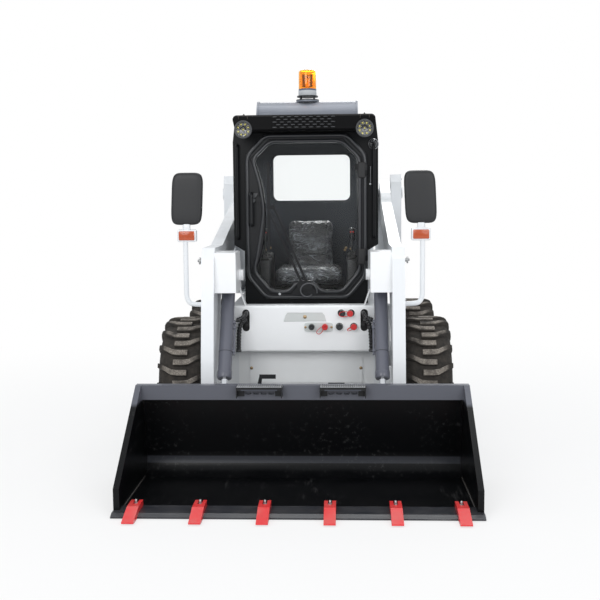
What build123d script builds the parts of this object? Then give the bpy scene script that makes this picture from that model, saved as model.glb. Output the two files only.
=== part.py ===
from build123d import *
from math import atan2, cos, degrees, hypot, radians, sin
import os

# A skid steer loader with a bucket, a closed cab and radial lift arms, in millimetres.
# +Z is up, the machine faces -Y and X runs across it. The origin is on the ground, at the
# middle of the machine's length and width.

os.makedirs("parts", exist_ok=True)

# Lengths along the machine, measured back from the bucket's cutting edge
tooth_reach = 90
edge_to_front_axle = 1456
wheelbase = 1075
rear_overhang = 969
overall_length = tooth_reach + edge_to_front_axle + wheelbase + rear_overhang
edge_y = tooth_reach - overall_length / 2
front_axle_y = edge_y + edge_to_front_axle
rear_axle_y = front_axle_y + wheelbase
rear_end_y = rear_axle_y + rear_overhang

# Clearances
pin_gap = 0.3
face_gap = 0.5
ear_gap = 1.0

# Wheels
tyre_radius = 420
tyre_width = 290
tyre_bead_radius = 212
tyre_mid_x = 762
lug_depth = 24
lug_count = 20
lug_width = 34
lug_sweep = 50
lug_pad_reach = 42
lug_pad_end = 60
tread_half = 115
shoulder_radius = 348
sidewall_radius = 272
carcass_sides = 16
rim_width = 230
rim_thickness = 12
rim_disc_x = 742
stud_circle = 102
stud_count = 8
stud_radius = 9
hub_radius = 62
axle_z = tyre_radius

# Frame
frame_half_width = 500
frame_wall = 12
frame_floor_z = 205
deck_z = 900
frame_front_y = edge_y + 1365
frame_rear_y = rear_end_y - 100
axle_tube_radius = 95
hub_flange_radius = 135
hub_flange_thickness = 22
cover_half_width = 360
cover_thickness = 8
cover_bottom_z = 430
cover_top_z = 860
bumper_height = 210
bumper_bottom_z = 330
bumper_depth = 100
tie_down_radius = 20
tie_down_x = 380
tie_down_z = bumper_bottom_z + 60
tie_wall = bumper_depth - face_gap

# Lift arms: main pivot, bucket pivot and the pins of the four cylinders, seen from the side
arm_pivot = (edge_y + 2930, 1640)
bucket_pivot = (edge_y + 900, 170)
tilt_top_pin = (edge_y + 1240, 1130)
tilt_eye_pin = (edge_y + 850, 425)
lift_base_pin = (edge_y + 2790, 930)
lift_eye_pin = (edge_y + 1850, 1130)
arm_inner_x = 527
arm_width = 75
arm_outer_x = arm_inner_x + arm_width
arm_pivot_boss_radius = 92
bucket_boss_radius = 60
pin_radius = 24
arm_pin_radius = 32
knee_top_z = 1308
knee_front_y = edge_y + 985

# Arms' cross member and the knee blocks that hold the tilt cylinders
member_front_y = edge_y + 1240
member_depth = 108
member_bottom_z = 647
member_top_z = 938
member_wall = 8
block_inner_x = 400
block_wall = 14
block_front_y = edge_y + 1010
block_bottom_z = 1040
block_top_z = 1280
gusset_wall = 8
gusset_foot_x = 366
gusset_front_y = member_front_y + 2
gusset_depth = 50
hose_slot_x = 368
hose_slot_width = 46
hose_slot_height = 138
hose_slot_z = 845
coupler_high_z = 890
coupler_low_z = 806
recess_bottom_half = 134
recess_bottom_z = 837
recess_top_z = 893
recess_depth = 5

# Cylinders
tilt_x = 467
tilt_barrel_radius = 41
tilt_rod_radius = 20
tilt_barrel_length = 674
tilt_rod_inner_end = 225
tilt_eye_radius = 35
tilt_eye_width = 50
lift_barrel_radius = 41
lift_rod_radius = 22
lift_rod_inner_end = 75
lift_eye_radius = 38
lift_eye_width = 50
lift_gland_margin = 80
bore_start = 60
lug_wall = 11
port_height = 315
barrel_tube_radius = 6
barrel_tube_length = 200
hose_radius = 11
loom_radius = 13

# Rear towers
tower_inner_x = frame_half_width
tower_inner_wall = 12
tower_post_x = 615
tower_post_width = 80
tower_top_z = 1780
tower_rear_y = edge_y + 3045
tower_front_y = edge_y + 2835
tower_foot_z = 880

# Cab
cab_front_y = edge_y + 1520
cab_rear_y = edge_y + 2740
cab_upper_half = 465
cab_lower_half = 398
cab_waist_z = 1262
cab_sill_z = deck_z + pin_gap
cab_roof_z = 2112
cab_wall = 34
cab_roof_wall = 30
footwell_half = 375
footwell_rear_y = edge_y + 2140
footwell_floor_z = 640
footwell_wall = 12
door_opening_half = 330
door_opening_bottom = 985
door_opening_top = 1955
side_window = (edge_y + 1640, 1400, edge_y + 2620, 1915)
rear_window_half = 294
rear_window_bottom = 1584
rear_window_top = 1930
glass_thickness = 6
visor_front_y = edge_y + 1310
visor_top_half = 447
visor_bottom_half = 425
visor_bottom_z = 2014
rail_x = 436
rail_radius = 10
rail_standoff = 32
rail_low_z = 1345
rail_high_z = 1940
roof_rib_width = 50
roof_rib_height = 8
mesh_rows = 5
mesh_columns = 9
mesh_pitch = (45, 16)
mesh_hole = (36, 11)
mesh_depth = 14
mesh_middle_z = 2069
work_lamp_x = 371
work_lamp_z = 2020
work_lamp_radius = 57

# Roof unit and beacon
roof_unit_half = 342
roof_unit_radius = 150
roof_unit_y = edge_y + 2000
beacon_radius = 60
beacon_base_height = 54
beacon_dome_height = 128
ring_height = 14
beacon_foot_z = cab_roof_z + face_gap + roof_unit_radius + ring_height + 12
dome_bottom_z = beacon_foot_z + beacon_base_height + pin_gap

# Door
door_hinge_x = 385
door_left_x = -384
door_right_x = 392
door_bottom_z = 952
door_top_z = 2008
door_rib_width = 24
door_rib_height = 8
door_frame_width = 58
door_thickness = 30
door_gap = 4
door_hinge_y = cab_front_y - door_gap - door_thickness - 6
door_hinge_heights = (1235, 1775)
hinge_pin_radius = 6
hinge_knuckle_radius = 13
hinge_knuckle_length = 38
door_corner = 128
door_bulge_z = 1560
door_bulge_depth = 70
door_motor_x = -9
door_motor_width = 150
door_motor_height = 60
wiper_z = door_bottom_z + door_frame_width + door_motor_height - 26
blade_x = -236

# Engine bay
engine_size = (460, 420, 430)
engine_y = edge_y + 2960
cowl_half = 455
cowl_front_y = edge_y + 2752
cowl_rear_y = rear_end_y - 62
cowl_top_z = 1470
cowl_wall = 10
tailgate_half = 395
tailgate_bottom_z = 560
tailgate_top_z = 1380
tailgate_thickness = 50
tailgate_gap = 6
gate_rim = 36
gate_skin = 10
gate_grille_z = 1130
lid_thickness = 28
lid_hinge = (cowl_front_y + 2, cowl_top_z + 16)
lid_front_y = cowl_front_y + 15
lid_knuckle_radius = 9
lid_pin_radius = 5
lid_knuckle_x = 300
gate_hinge_x = -tailgate_half - 16
gate_hinge_y = cowl_rear_y + 26
gate_hinge_heights = (700, 1310)

# Bucket
bucket_half = 929.5
bucket_wall = 21
bucket_plate = 10
bucket_clear_z = 3
bucket_heel_y = edge_y + 796
bucket_heel_radius = 120
bucket_top_y = edge_y + 696
bucket_top_z = 554
lip_depth = 48
lip_height = 84
side_front_y = edge_y + 70
edge_half = 940
edge_depth = 150
edge_thickness = 20
tooth_count = 6
tooth_pitch = 333
tooth_width = 60
tooth_length = 240
cutter_height = 130
step_inner_x = 105
step_width = 257
step_depth = 62
step_plate = 5
step_leg = 42
step_leg_height = 62

# Quick coupler
coupler_thickness = 26
coupler_half = 625
ear_wall = 15
lever_pivot_x = 262
lever_pivot_z = 455
lever_top_z = 596
lever_low_z = 548

# Seat
seat_half_width = 245
seat_front_y = edge_y + 1850
seat_depth = 460
cushion_bottom_z = 1010
cushion_thickness = 115
back_half_width = 178
back_height = 420
back_thickness = 110
back_lean = 12

# Mirrors
mirror_x = 700
mirror_y = edge_y + 1110
mirror_width = 187
mirror_height = 313
mirror_bottom_z = 1445
mirror_depth = 38
mirror_tube_radius = 15
mirror_tube_x = 715
indicator_size = (115, 60, 75)
indicator_z = 1380


def side_plane(x):
    # The plane across the machine at x: its first axis is the machine's Y, its second is Z.
    return Plane.YZ.offset(x)


def mirrored(name, build):
    # Both the +X piece and its mirror image, as one node.
    with BuildPart() as pair:
        add(build)
        mirror(about=Plane.YZ)
    return save(name, pair.part)


def save(name, part):
    part.label = name
    export_step(part, f"parts/{name}.step")
    return part


def save_sides(name, part):
    # A left and a right node from the right-hand solid.
    save(f"{name}_right", part)
    save(f"{name}_left", part.mirror(Plane.YZ))


def slab(outline, x_low, x_high, corner=0):
    # A plate standing along the machine: a side outline extruded from x_low to x_high.
    with BuildPart() as plate:
        with BuildSketch(side_plane(x_low)) as face:
            with BuildLine():
                Polyline(*outline, close=True)
            make_face()
            if corner:
                fillet(face.vertices(), corner)
        extrude(amount=x_high - x_low)
    return plate.part


def strap(circles, x_low, x_high, bore=None):
    # A plate whose outline is the hull of circles (centre, radius), with one optional bore.
    with BuildPart() as plate:
        with BuildSketch(side_plane(x_low)):
            for centre, radius in circles:
                with Locations(centre):
                    Circle(radius)
            make_hull()
            if bore:
                with Locations(bore[0]):
                    Circle(bore[1], mode=Mode.SUBTRACT)
        extrude(amount=x_high - x_low)
    return plate.part


def rod_between(x_low, x_high, centre, radius):
    # A round bar across the machine at a side-view point.
    with BuildPart() as bar:
        with BuildSketch(side_plane(x_low)):
            with Locations(centre):
                Circle(radius)
        extrude(amount=x_high - x_low)
    return bar.part


def block(x_range, y_range, z_range):
    with BuildPart() as solid:
        with Locations(((x_range[0] + x_range[1]) / 2, (y_range[0] + y_range[1]) / 2, (z_range[0] + z_range[1]) / 2)):
            Box(x_range[1] - x_range[0], y_range[1] - y_range[0], z_range[1] - z_range[0])
    return solid.part


def make_tyre():
    # Flat-faceted: rings of a regular polygon make the carcass, and each lug is a flat-topped bar.
    base = tyre_radius - lug_depth
    half = tyre_width / 2
    with BuildPart() as carcass:
        with BuildSketch(side_plane(-tread_half)):
            RegularPolygon(base, carcass_sides)
        extrude(amount=2 * tread_half)
        for sign in (-1, 1):
            with BuildSketch(side_plane(sign * tread_half)):
                RegularPolygon(base, carcass_sides)
            with BuildSketch(side_plane(sign * half)):
                RegularPolygon(shoulder_radius, carcass_sides)
            loft(ruled=True)
            with BuildSketch(side_plane(sign * half)):
                RegularPolygon(sidewall_radius, carcass_sides)
            with BuildSketch(side_plane(sign * tread_half)):
                RegularPolygon(tyre_bead_radius, carcass_sides, major_radius=False)
            loft(ruled=True, mode=Mode.SUBTRACT)
        with BuildSketch(side_plane(-tread_half)):
            RegularPolygon(tyre_bead_radius, carcass_sides, major_radius=False)
        extrude(amount=2 * tread_half, mode=Mode.SUBTRACT)
    # A lug's bar starts beyond the middle of the tread and sweeps out over the shoulder.
    with BuildPart() as lug:
        with BuildSketch(Plane.XZ.offset(-2 * lug_sweep)):
            with BuildLine():
                Polyline((-lug_pad_reach, base - 40), (-lug_pad_reach, tyre_radius), (lug_pad_end, tyre_radius),
                         (half - 4, tyre_radius - 14), (half - 2, base - 52), (tread_half, base - 60),
                         close=True)
            make_face()
        extrude(amount=4 * lug_sweep)
        with BuildSketch(Plane.XY.offset(base - 80)):
            with BuildLine():
                width = lug_width / 2
                Polyline((-lug_pad_reach, -width), (half + 1, lug_sweep - width), (half + 1, lug_sweep + width),
                         (-lug_pad_reach, width), close=True)
            make_face()
        extrude(amount=160, mode=Mode.INTERSECT)
    step = 360 / lug_count
    with BuildPart() as tyre:
        add(carcass.part)
        for index in range(lug_count):
            add(lug.part.rotate(Axis.X, index * step))
            add(lug.part.mirror(Plane.YZ).rotate(Axis.X, (index + 0.5) * step))
    return tyre.part


def make_rim():
    half = rim_width / 2
    disc = rim_disc_x - tyre_mid_x
    edge = tyre_bead_radius - face_gap
    with BuildPart() as rim:
        with BuildSketch(Plane.XY):
            with BuildLine():
                Polyline((-half, edge - 12), (-half, edge), (half, edge), (half, edge - 12), (half - 34, 178),
                         (disc + 44, 150), (disc + rim_thickness, 122), (disc + rim_thickness, hub_radius),
                         (disc + 50, hub_radius), (disc + 58, hub_radius - 8), (disc + 58, 0), (disc, 0),
                         (disc, 130), (disc + 26, 160), (disc + 26, 182), close=True)
            make_face()
        revolve(axis=Axis.X)
        with BuildSketch(side_plane(disc + rim_thickness)):
            with PolarLocations(stud_circle, stud_count):
                RegularPolygon(stud_radius, 6)
        extrude(amount=20)
    return rim.part


def place_wheels():
    tyre = make_tyre()
    rim = make_rim()
    for axle, y in (("front", front_axle_y), ("rear", rear_axle_y)):
        for side, sign in (("right", 1), ("left", -1)):
            for name, solid in (("tyre", tyre), ("rim", rim)):
                wheel = solid if sign > 0 else solid.mirror(Plane.YZ)
                placed = wheel.moved(Location((sign * tyre_mid_x, y, axle_z)))
                save(f"{name}_{axle}_{side}", placed)


def make_frame():
    side = [(frame_front_y, 330), (frame_front_y + 110, frame_floor_z), (frame_rear_y - 330, frame_floor_z),
            (frame_rear_y, 350), (frame_rear_y, deck_z), (frame_front_y, deck_z)]
    inner_half = frame_half_width - frame_wall
    with BuildPart() as frame:
        add(slab(side, -frame_half_width, frame_half_width))
        hollow = [(frame_front_y + frame_wall, 336), (frame_front_y + 116, frame_floor_z + frame_wall),
                  (frame_rear_y - 334, frame_floor_z + frame_wall), (frame_rear_y + 50, 356),
                  (frame_rear_y + 50, deck_z - frame_wall), (frame_front_y + frame_wall, deck_z - frame_wall)]
        add(slab(hollow, -inner_half, inner_half), mode=Mode.SUBTRACT)
        # Openings in the deck for the cab's footwell and for the engine bay
        add(block((-footwell_half - 8, footwell_half + 8), (cab_front_y - 8, footwell_rear_y + 8),
                  (deck_z - 60, deck_z + 10)), mode=Mode.SUBTRACT)
        add(block((-cowl_half + 30, cowl_half - 30), (cowl_front_y + 30, frame_rear_y + 60),
                  (deck_z - 60, deck_z + 10)), mode=Mode.SUBTRACT)
        # Bolted access cover on the front plate
        add(block((-cover_half_width, cover_half_width), (frame_front_y - cover_thickness, frame_front_y + 2),
                  (cover_bottom_z, cover_top_z)))
        for sign in (-1, 1):
            for y in (front_axle_y, rear_axle_y):
                with BuildSketch(side_plane(sign * (frame_half_width - 2))):
                    with Locations((y, axle_z)):
                        Circle(axle_tube_radius)
                extrude(amount=sign * (rim_disc_x - face_gap - frame_half_width + 2))
                with BuildSketch(side_plane(sign * (rim_disc_x - face_gap))):
                    with Locations((y, axle_z)):
                        Circle(hub_flange_radius - 20)
                extrude(amount=-sign * hub_flange_thickness)
    save("main_frame", frame.part)


def make_rear_bumper():
    # Cast crossbeam that closes the frame's lower rear, with two tie-down holes right through
    with BuildPart() as bumper:
        add(block((-frame_half_width, frame_half_width), (frame_rear_y + face_gap, frame_rear_y + face_gap + tie_wall),
                  (bumper_bottom_z, bumper_bottom_z + bumper_height)))
        rear = bumper.faces().sort_by(Axis.Y)[-1]
        fillet(rear.edges().filter_by(Axis.X) + rear.edges().filter_by(Axis.Z), 24)
        with Locations(*[Location((sign * tie_down_x, frame_rear_y + bumper_depth, tie_down_z), (90, 0, 0))
                         for sign in (-1, 1)]):
            Hole(tie_down_radius, bumper_depth + 40)
        # Recess across the middle, between the holes
        add(block((-tie_down_x + 90, tie_down_x - 90), (frame_rear_y + bumper_depth - 14, frame_rear_y + bumper_depth + 9),
                  (bumper_bottom_z + 60, bumper_bottom_z + bumper_height - 50)), mode=Mode.SUBTRACT)
    save("rear_bumper", bumper.part)


def make_towers():
    post = [(lift_base_pin[0] - 55, tower_foot_z), (tower_rear_y, tower_foot_z), (tower_rear_y, tower_top_z - 90),
            (tower_rear_y - 40, tower_top_z), (tower_front_y + 30, tower_top_z), (tower_front_y, tower_top_z - 60),
            (tower_front_y, 1150), (lift_base_pin[0] - 55, 1010)]
    plate = [(lift_base_pin[0] - 60, 640), (tower_rear_y, 640), (tower_rear_y, tower_top_z - 100),
             (tower_rear_y - 45, tower_top_z - 20), (tower_front_y + 25, tower_top_z - 20),
             (tower_front_y - 5, tower_top_z - 80), (tower_front_y - 5, 1180), (lift_base_pin[0] - 60, 1030)]
    inner_x = tower_inner_x + 0.0
    plate_x = inner_x + tower_inner_wall
    post_end = tower_post_x + tower_post_width
    with BuildPart() as tower:
        add(slab(plate, inner_x, plate_x))
        add(slab(post, tower_post_x, post_end))
        add(block((inner_x, post_end), (tower_rear_y - 12, tower_rear_y), (tower_foot_z, tower_top_z - 130)))
        add(block((inner_x, post_end), (lift_base_pin[0] - 55, tower_rear_y), (tower_foot_z - 14, tower_foot_z)))
        add(rod_between(inner_x, post_end + 8, arm_pivot, arm_pin_radius))
        add(rod_between(post_end, post_end + 14, arm_pivot, arm_pin_radius + 14))
        add(rod_between(inner_x, post_end - 30, lift_base_pin, pin_radius))
    mirrored("rear_towers", tower.part)


def arm_outline():
    y, z = arm_pivot
    py, pz = bucket_pivot
    return [(knee_front_y, 1240), (edge_y + 1045, knee_top_z), (edge_y + 1400, knee_top_z),
            (edge_y + 2790, 1625), (y, z + 40), (y, z - 60), (edge_y + 2740, 1420),
            (edge_y + 1500, 1120), (edge_y + 1290, 990), (edge_y + 1150, 640), (py + 55, pz + 20),
            (py - 57, pz + 20), (edge_y + 892, 640)]


def make_arm():
    y, z = arm_pivot
    with BuildPart() as arm:
        add(slab(arm_outline(), arm_inner_x, arm_outer_x))
        add(strap([(arm_pivot, arm_pivot_boss_radius), ((y - 250, z - 80), 82)], arm_inner_x, arm_outer_x))
        add(strap([(bucket_pivot, bucket_boss_radius), ((bucket_pivot[0] + 40, bucket_pivot[1] + 200), 80)],
                  arm_inner_x, arm_outer_x))
        # Knee plate on the inner face, and the lugs for the lift cylinder's rod
        for x_low in (arm_inner_x, arm_outer_x - lug_wall):
            add(strap([(lift_eye_pin, 42), ((lift_eye_pin[0] - 80, 1200), 40), ((lift_eye_pin[0] + 45, 1240), 40)],
                      x_low, x_low + lug_wall))
        add(rod_between(arm_inner_x - 6, arm_inner_x, lift_eye_pin, pin_radius))
        add(rod_between(arm_outer_x, arm_outer_x + 5, lift_eye_pin, pin_radius))
        add(rod_between(arm_inner_x - 20, arm_outer_x + 20, arm_pivot, arm_pin_radius + pin_gap), mode=Mode.SUBTRACT)
        add(rod_between(arm_inner_x - 20, arm_outer_x + 20, bucket_pivot, pin_radius + pin_gap), mode=Mode.SUBTRACT)
    save_sides("lift_arm", arm.part)


def knee_block():
    # The open box at the right knee that carries the tilt cylinder's base pin
    eye_half = tilt_eye_width / 2
    inner_plate = [(block_front_y, block_bottom_z), (block_front_y, block_top_z),
                   (tilt_top_pin[0] + 10, block_top_z), (tilt_top_pin[0] + 58, block_top_z - 120),
                   (tilt_top_pin[0] + 58, tilt_top_pin[1] - 30),
                   (tilt_top_pin[0] + 20, tilt_top_pin[1] - 58), (tilt_top_pin[0] - 30, block_bottom_z)]
    with BuildPart() as knee:
        add(slab(inner_plate, block_inner_x, block_inner_x + block_wall))
        add(slab(inner_plate, arm_inner_x - block_wall, arm_inner_x))
        add(block((block_inner_x, arm_inner_x), (block_front_y - 4, block_front_y + 10),
                  (block_bottom_z, block_top_z)))
        add(block((block_inner_x, arm_inner_x), (block_front_y, tilt_top_pin[0] + 8),
                  (block_top_z - 10, block_top_z)))
        add(rod_between(block_inner_x - 12, arm_inner_x, tilt_top_pin, pin_radius))
        add(rod_between(block_inner_x + block_wall, tilt_x - eye_half - ear_gap, tilt_top_pin, pin_radius + 12))
        add(rod_between(tilt_x + eye_half + ear_gap, arm_inner_x - block_wall, tilt_top_pin, pin_radius + 12))
        add(rod_between(block_inner_x - 22, block_inner_x, tilt_top_pin, pin_radius + 10))
        # Bent plate from the block's inner side down to the cross member
        with BuildSketch(Plane.XZ.offset(-gusset_front_y)):
            with BuildLine():
                Polyline((block_inner_x, block_bottom_z + 40), (block_inner_x + gusset_wall, block_bottom_z + 40),
                         (block_inner_x + gusset_wall, block_bottom_z), (gusset_foot_x + gusset_wall, member_top_z),
                         (gusset_foot_x, member_top_z), (block_inner_x, block_bottom_z), close=True)
            make_face()
        extrude(amount=-gusset_depth)
    return knee.part


def make_member():
    inner = arm_inner_x - 0.0
    y_low, y_high = member_front_y, member_front_y + member_depth
    with BuildPart() as member:
        with BuildSketch(side_plane(-inner)) as face:
            with Locations(((y_low + y_high) / 2, (member_bottom_z + member_top_z) / 2)):
                Rectangle(member_depth, member_top_z - member_bottom_z)
            fillet(face.vertices(), 14)
        extrude(amount=2 * inner)
        with BuildSketch(side_plane(-inner)) as bore:
            with Locations(((y_low + y_high) / 2, (member_bottom_z + member_top_z) / 2)):
                Rectangle(member_depth - 2 * member_wall, member_top_z - member_bottom_z - 2 * member_wall)
            fillet(bore.vertices(), 6)
        extrude(amount=2 * inner, mode=Mode.SUBTRACT)
        # Slots in the front wall for the hoses, and three round coupler holes
        with BuildSketch(Plane.XZ.offset(-y_low)):
            with Locations((-hose_slot_x, hose_slot_z), (hose_slot_x, hose_slot_z)):
                SlotOverall(hose_slot_height, hose_slot_width, rotation=90)
            with Locations((256, coupler_high_z)):
                SlotOverall(110, 46)
            with Locations((214, coupler_low_z), (303, coupler_low_z)):
                Circle(24)
        extrude(amount=-member_wall - 4, mode=Mode.SUBTRACT)
        # Pressed recess at the middle of the front wall
        with BuildSketch(Plane.XZ.offset(-y_low)):
            with BuildLine():
                Polyline((-recess_bottom_half, recess_bottom_z), (recess_bottom_half, recess_bottom_z),
                         (recess_bottom_half - 12, recess_top_z - 16), (recess_bottom_half - 26, recess_top_z),
                         (-recess_bottom_half + 26, recess_top_z), (-recess_bottom_half + 12, recess_top_z - 16),
                         close=True)
            make_face()
        extrude(amount=-recess_depth, taper=20, mode=Mode.SUBTRACT)
        right = knee_block()
        add(right)
        add(right.mirror(Plane.YZ))
    save("cross_member", member.part)


def cylinder_parts(base, eye, x, barrel_radius, rod_radius, eye_radius, eye_width, barrel_length, rod_inner):
    # A hydraulic cylinder from its base pin to its rod's eye, modelled in its own frame along
    # +Z from the base pin and then turned into the side view.
    dy, dz = eye[0] - base[0], eye[1] - base[1]
    length = hypot(dy, dz)
    place = Location((x, base[0], base[1]), (-degrees(atan2(dy, dz)), 0, 0))
    half = eye_width / 2
    cross = Plane.YZ.offset(-half)
    with BuildPart() as barrel:
        with BuildSketch(cross):
            Circle(eye_radius + 4)
            Circle(pin_radius + pin_gap, mode=Mode.SUBTRACT)
        extrude(amount=eye_width)
        with BuildSketch(Plane.XY.offset(eye_radius - 8)):
            Circle(eye_width / 2 - 3)
        extrude(amount=20)
        with BuildSketch(Plane.XY.offset(eye_radius + 8)):
            Circle(barrel_radius)
        extrude(amount=barrel_length - eye_radius - 8)
        with BuildSketch(Plane.XY.offset(barrel_length - 46)):
            Circle(barrel_radius + 2)
        extrude(amount=40)
        with BuildSketch(Plane.XY.offset(bore_start)):
            Circle(rod_radius + pin_gap)
        extrude(amount=barrel_length, mode=Mode.SUBTRACT)
        # Hose port, and the steel tube that runs from it down to the gland
        with BuildSketch(Plane.YZ.offset(-barrel_radius + 6)):
            with Locations((0, port_height)):
                Circle(13)
        extrude(amount=-16)
        tube_x = -barrel_radius - barrel_tube_radius - 2
        with BuildSketch(Plane.XY.offset(port_height + 11.5)):
            with Locations((tube_x, 0)):
                Circle(barrel_tube_radius)
        extrude(amount=barrel_tube_length)
        for height in (port_height + 30, port_height + barrel_tube_length - 22):
            with BuildSketch(Plane.XY.offset(height)):
                with Locations((tube_x + 9, 0)):
                    Rectangle(34, 20)
            extrude(amount=14)
    with BuildPart() as rod:
        with BuildSketch(Plane.XY.offset(rod_inner)):
            Circle(rod_radius)
        extrude(amount=length - rod_inner)
        with BuildSketch(Plane.YZ.offset(-half)):
            with Locations((0, length)):
                Circle(eye_radius)
        extrude(amount=eye_width)
    return barrel.part.moved(place), rod.part.moved(place), length


def make_cylinders():
    lift_length = hypot(lift_eye_pin[0] - lift_base_pin[0], lift_eye_pin[1] - lift_base_pin[1])
    table = (
        # name, base pin, eye pin, x, barrel radius, rod radius, eye radius, eye width, barrel length, rod's inner end
        ("tilt", tilt_top_pin, tilt_eye_pin, tilt_x, tilt_barrel_radius, tilt_rod_radius, tilt_eye_radius,
         tilt_eye_width, tilt_barrel_length, tilt_rod_inner_end),
        ("lift", lift_base_pin, lift_eye_pin, arm_inner_x + arm_width / 2, lift_barrel_radius, lift_rod_radius,
         lift_eye_radius, lift_eye_width, lift_length - lift_gland_margin, lift_rod_inner_end),
    )
    for name, base, eye, x, barrel_r, rod_r, eye_r, eye_w, barrel_l, rod_in in table:
        barrel, rod, length = cylinder_parts(base, eye, x, barrel_r, rod_r, eye_r, eye_w, barrel_l, rod_in)
        save_sides(f"{name}_barrel", barrel)
        save_sides(f"{name}_rod", rod)


def make_bucket():
    z0 = bucket_clear_z
    outer = [(side_front_y, z0 + edge_thickness), (edge_y + edge_depth, z0 + edge_thickness),
             (edge_y + edge_depth, z0), (bucket_heel_y, z0), (bucket_top_y, bucket_top_z),
             (bucket_top_y - lip_depth, bucket_top_z), (side_front_y, z0 + cutter_height)]
    lean = atan2(bucket_heel_y - bucket_top_y, bucket_top_z - z0)
    back_in = bucket_plate / cos(lean)
    lip_z = bucket_top_z - lip_height
    slope = (bucket_heel_y - bucket_top_y) / (bucket_top_z - z0)
    inside = [(edge_y - 20, z0 + bucket_plate), (bucket_heel_y - back_in - slope * bucket_plate, z0 + bucket_plate),
              (bucket_heel_y - back_in - slope * (lip_z - z0), lip_z), (bucket_top_y - lip_depth, lip_z),
              (bucket_top_y - lip_depth, bucket_top_z + 40), (edge_y - 20, bucket_top_z + 40)]
    with BuildPart() as shell:
        with BuildSketch(side_plane(-bucket_half)) as face:
            with BuildLine():
                Polyline(*outer, close=True)
            make_face()
            fillet(face.vertices().group_by(Axis.X)[-1].sort_by(Axis.Y)[0], bucket_heel_radius)
        extrude(amount=2 * bucket_half)
        with BuildSketch(side_plane(-bucket_half + bucket_wall)) as hollow:
            with BuildLine():
                Polyline(*inside, close=True)
            make_face()
            corner = hollow.vertices().group_by(Axis.X)[-1].sort_by(Axis.Y)[0]
            fillet(corner, bucket_heel_radius - bucket_plate)
        extrude(amount=2 * (bucket_half - bucket_wall), mode=Mode.SUBTRACT)
        # Bars along the side plates' front edges
        for sign in (-1, 1):
            with BuildSketch(side_plane(sign * bucket_half)):
                with BuildLine():
                    Polyline((side_front_y, z0 + edge_thickness), (side_front_y, z0 + cutter_height),
                             (bucket_top_y - lip_depth, bucket_top_z), (bucket_top_y, bucket_top_z),
                             (bucket_top_y - 10, bucket_top_z - 55), (bucket_top_y - lip_depth, bucket_top_z - 55),
                             (side_front_y + 60, z0 + cutter_height - 10), (side_front_y + 60, z0 + edge_thickness),
                             close=True)
                make_face()
            extrude(amount=sign * (edge_half - bucket_half))
        # Four long holes in the lip's face behind each step
        with BuildSketch(Plane.XZ.offset(-(bucket_top_y - lip_depth))):
            for sign in (-1, 1):
                for index in range(4):
                    x = sign * (step_inner_x + step_leg + (index + 0.5) * (step_width - 2 * step_leg) / 4)
                    with Locations((x, bucket_top_z - 44)):
                        SlotOverall(34, 18)
        extrude(amount=-14, mode=Mode.SUBTRACT)
    save("bucket_shell", shell.part)
    with BuildPart() as edge:
        profile = [(edge_y, z0), (edge_y + edge_depth, z0), (edge_y + edge_depth, z0 + edge_thickness),
                   (edge_y + 30, z0 + edge_thickness), (edge_y, z0 + 8)]
        add(slab(profile, -edge_half, edge_half))
    save("cutting_edge", edge.part)
    top = z0 + edge_thickness
    tooth = [(edge_y - tooth_reach, z0 + 4), (edge_y - tooth_reach, z0 + 12), (edge_y + 40, z0 + 50),
             (edge_y + tooth_length - tooth_reach, z0 + 50), (edge_y + tooth_length - tooth_reach, top),
             (edge_y + 30, top), (edge_y, z0 + 8), (edge_y, z0), (edge_y - tooth_reach + 20, z0)]
    with BuildPart() as teeth:
        for index in range(tooth_count):
            x = (index - (tooth_count - 1) / 2) * tooth_pitch
            add(slab(tooth, x - tooth_width / 2, x + tooth_width / 2))
            fork_end = edge_y + tooth_length - tooth_reach
            add(block((x - 11, x + 11), (fork_end - 62, fork_end + 5), (top - 5, z0 + 60)), mode=Mode.SUBTRACT)
    save("bucket_teeth", teeth.part)
    front = bucket_top_y - lip_depth
    with BuildPart() as steps:
        x_high = step_inner_x + step_width
        add(block((step_inner_x, x_high), (front - step_depth, front), (bucket_top_z - step_plate, bucket_top_z)))
        add(block((step_inner_x, x_high), (front - step_depth, front - step_depth + step_plate),
                  (bucket_top_z - 20, bucket_top_z)))
        for x in (step_inner_x, x_high - step_plate):
            add(block((x, x + step_plate), (front - step_depth, front), (bucket_top_z - step_leg_height, bucket_top_z)))
        for x in (step_inner_x, x_high - step_leg):
            add(block((x, x + step_leg), (front - step_plate, front),
                      (bucket_top_z - step_leg_height, bucket_top_z)))
    mirrored("bucket_steps", steps.part)


def back_y(z):
    # Where the bucket's leaning back stands at height z
    slope = (bucket_heel_y - bucket_top_y) / (bucket_top_z - bucket_clear_z)
    return bucket_heel_y - slope * (z - bucket_clear_z)


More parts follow.
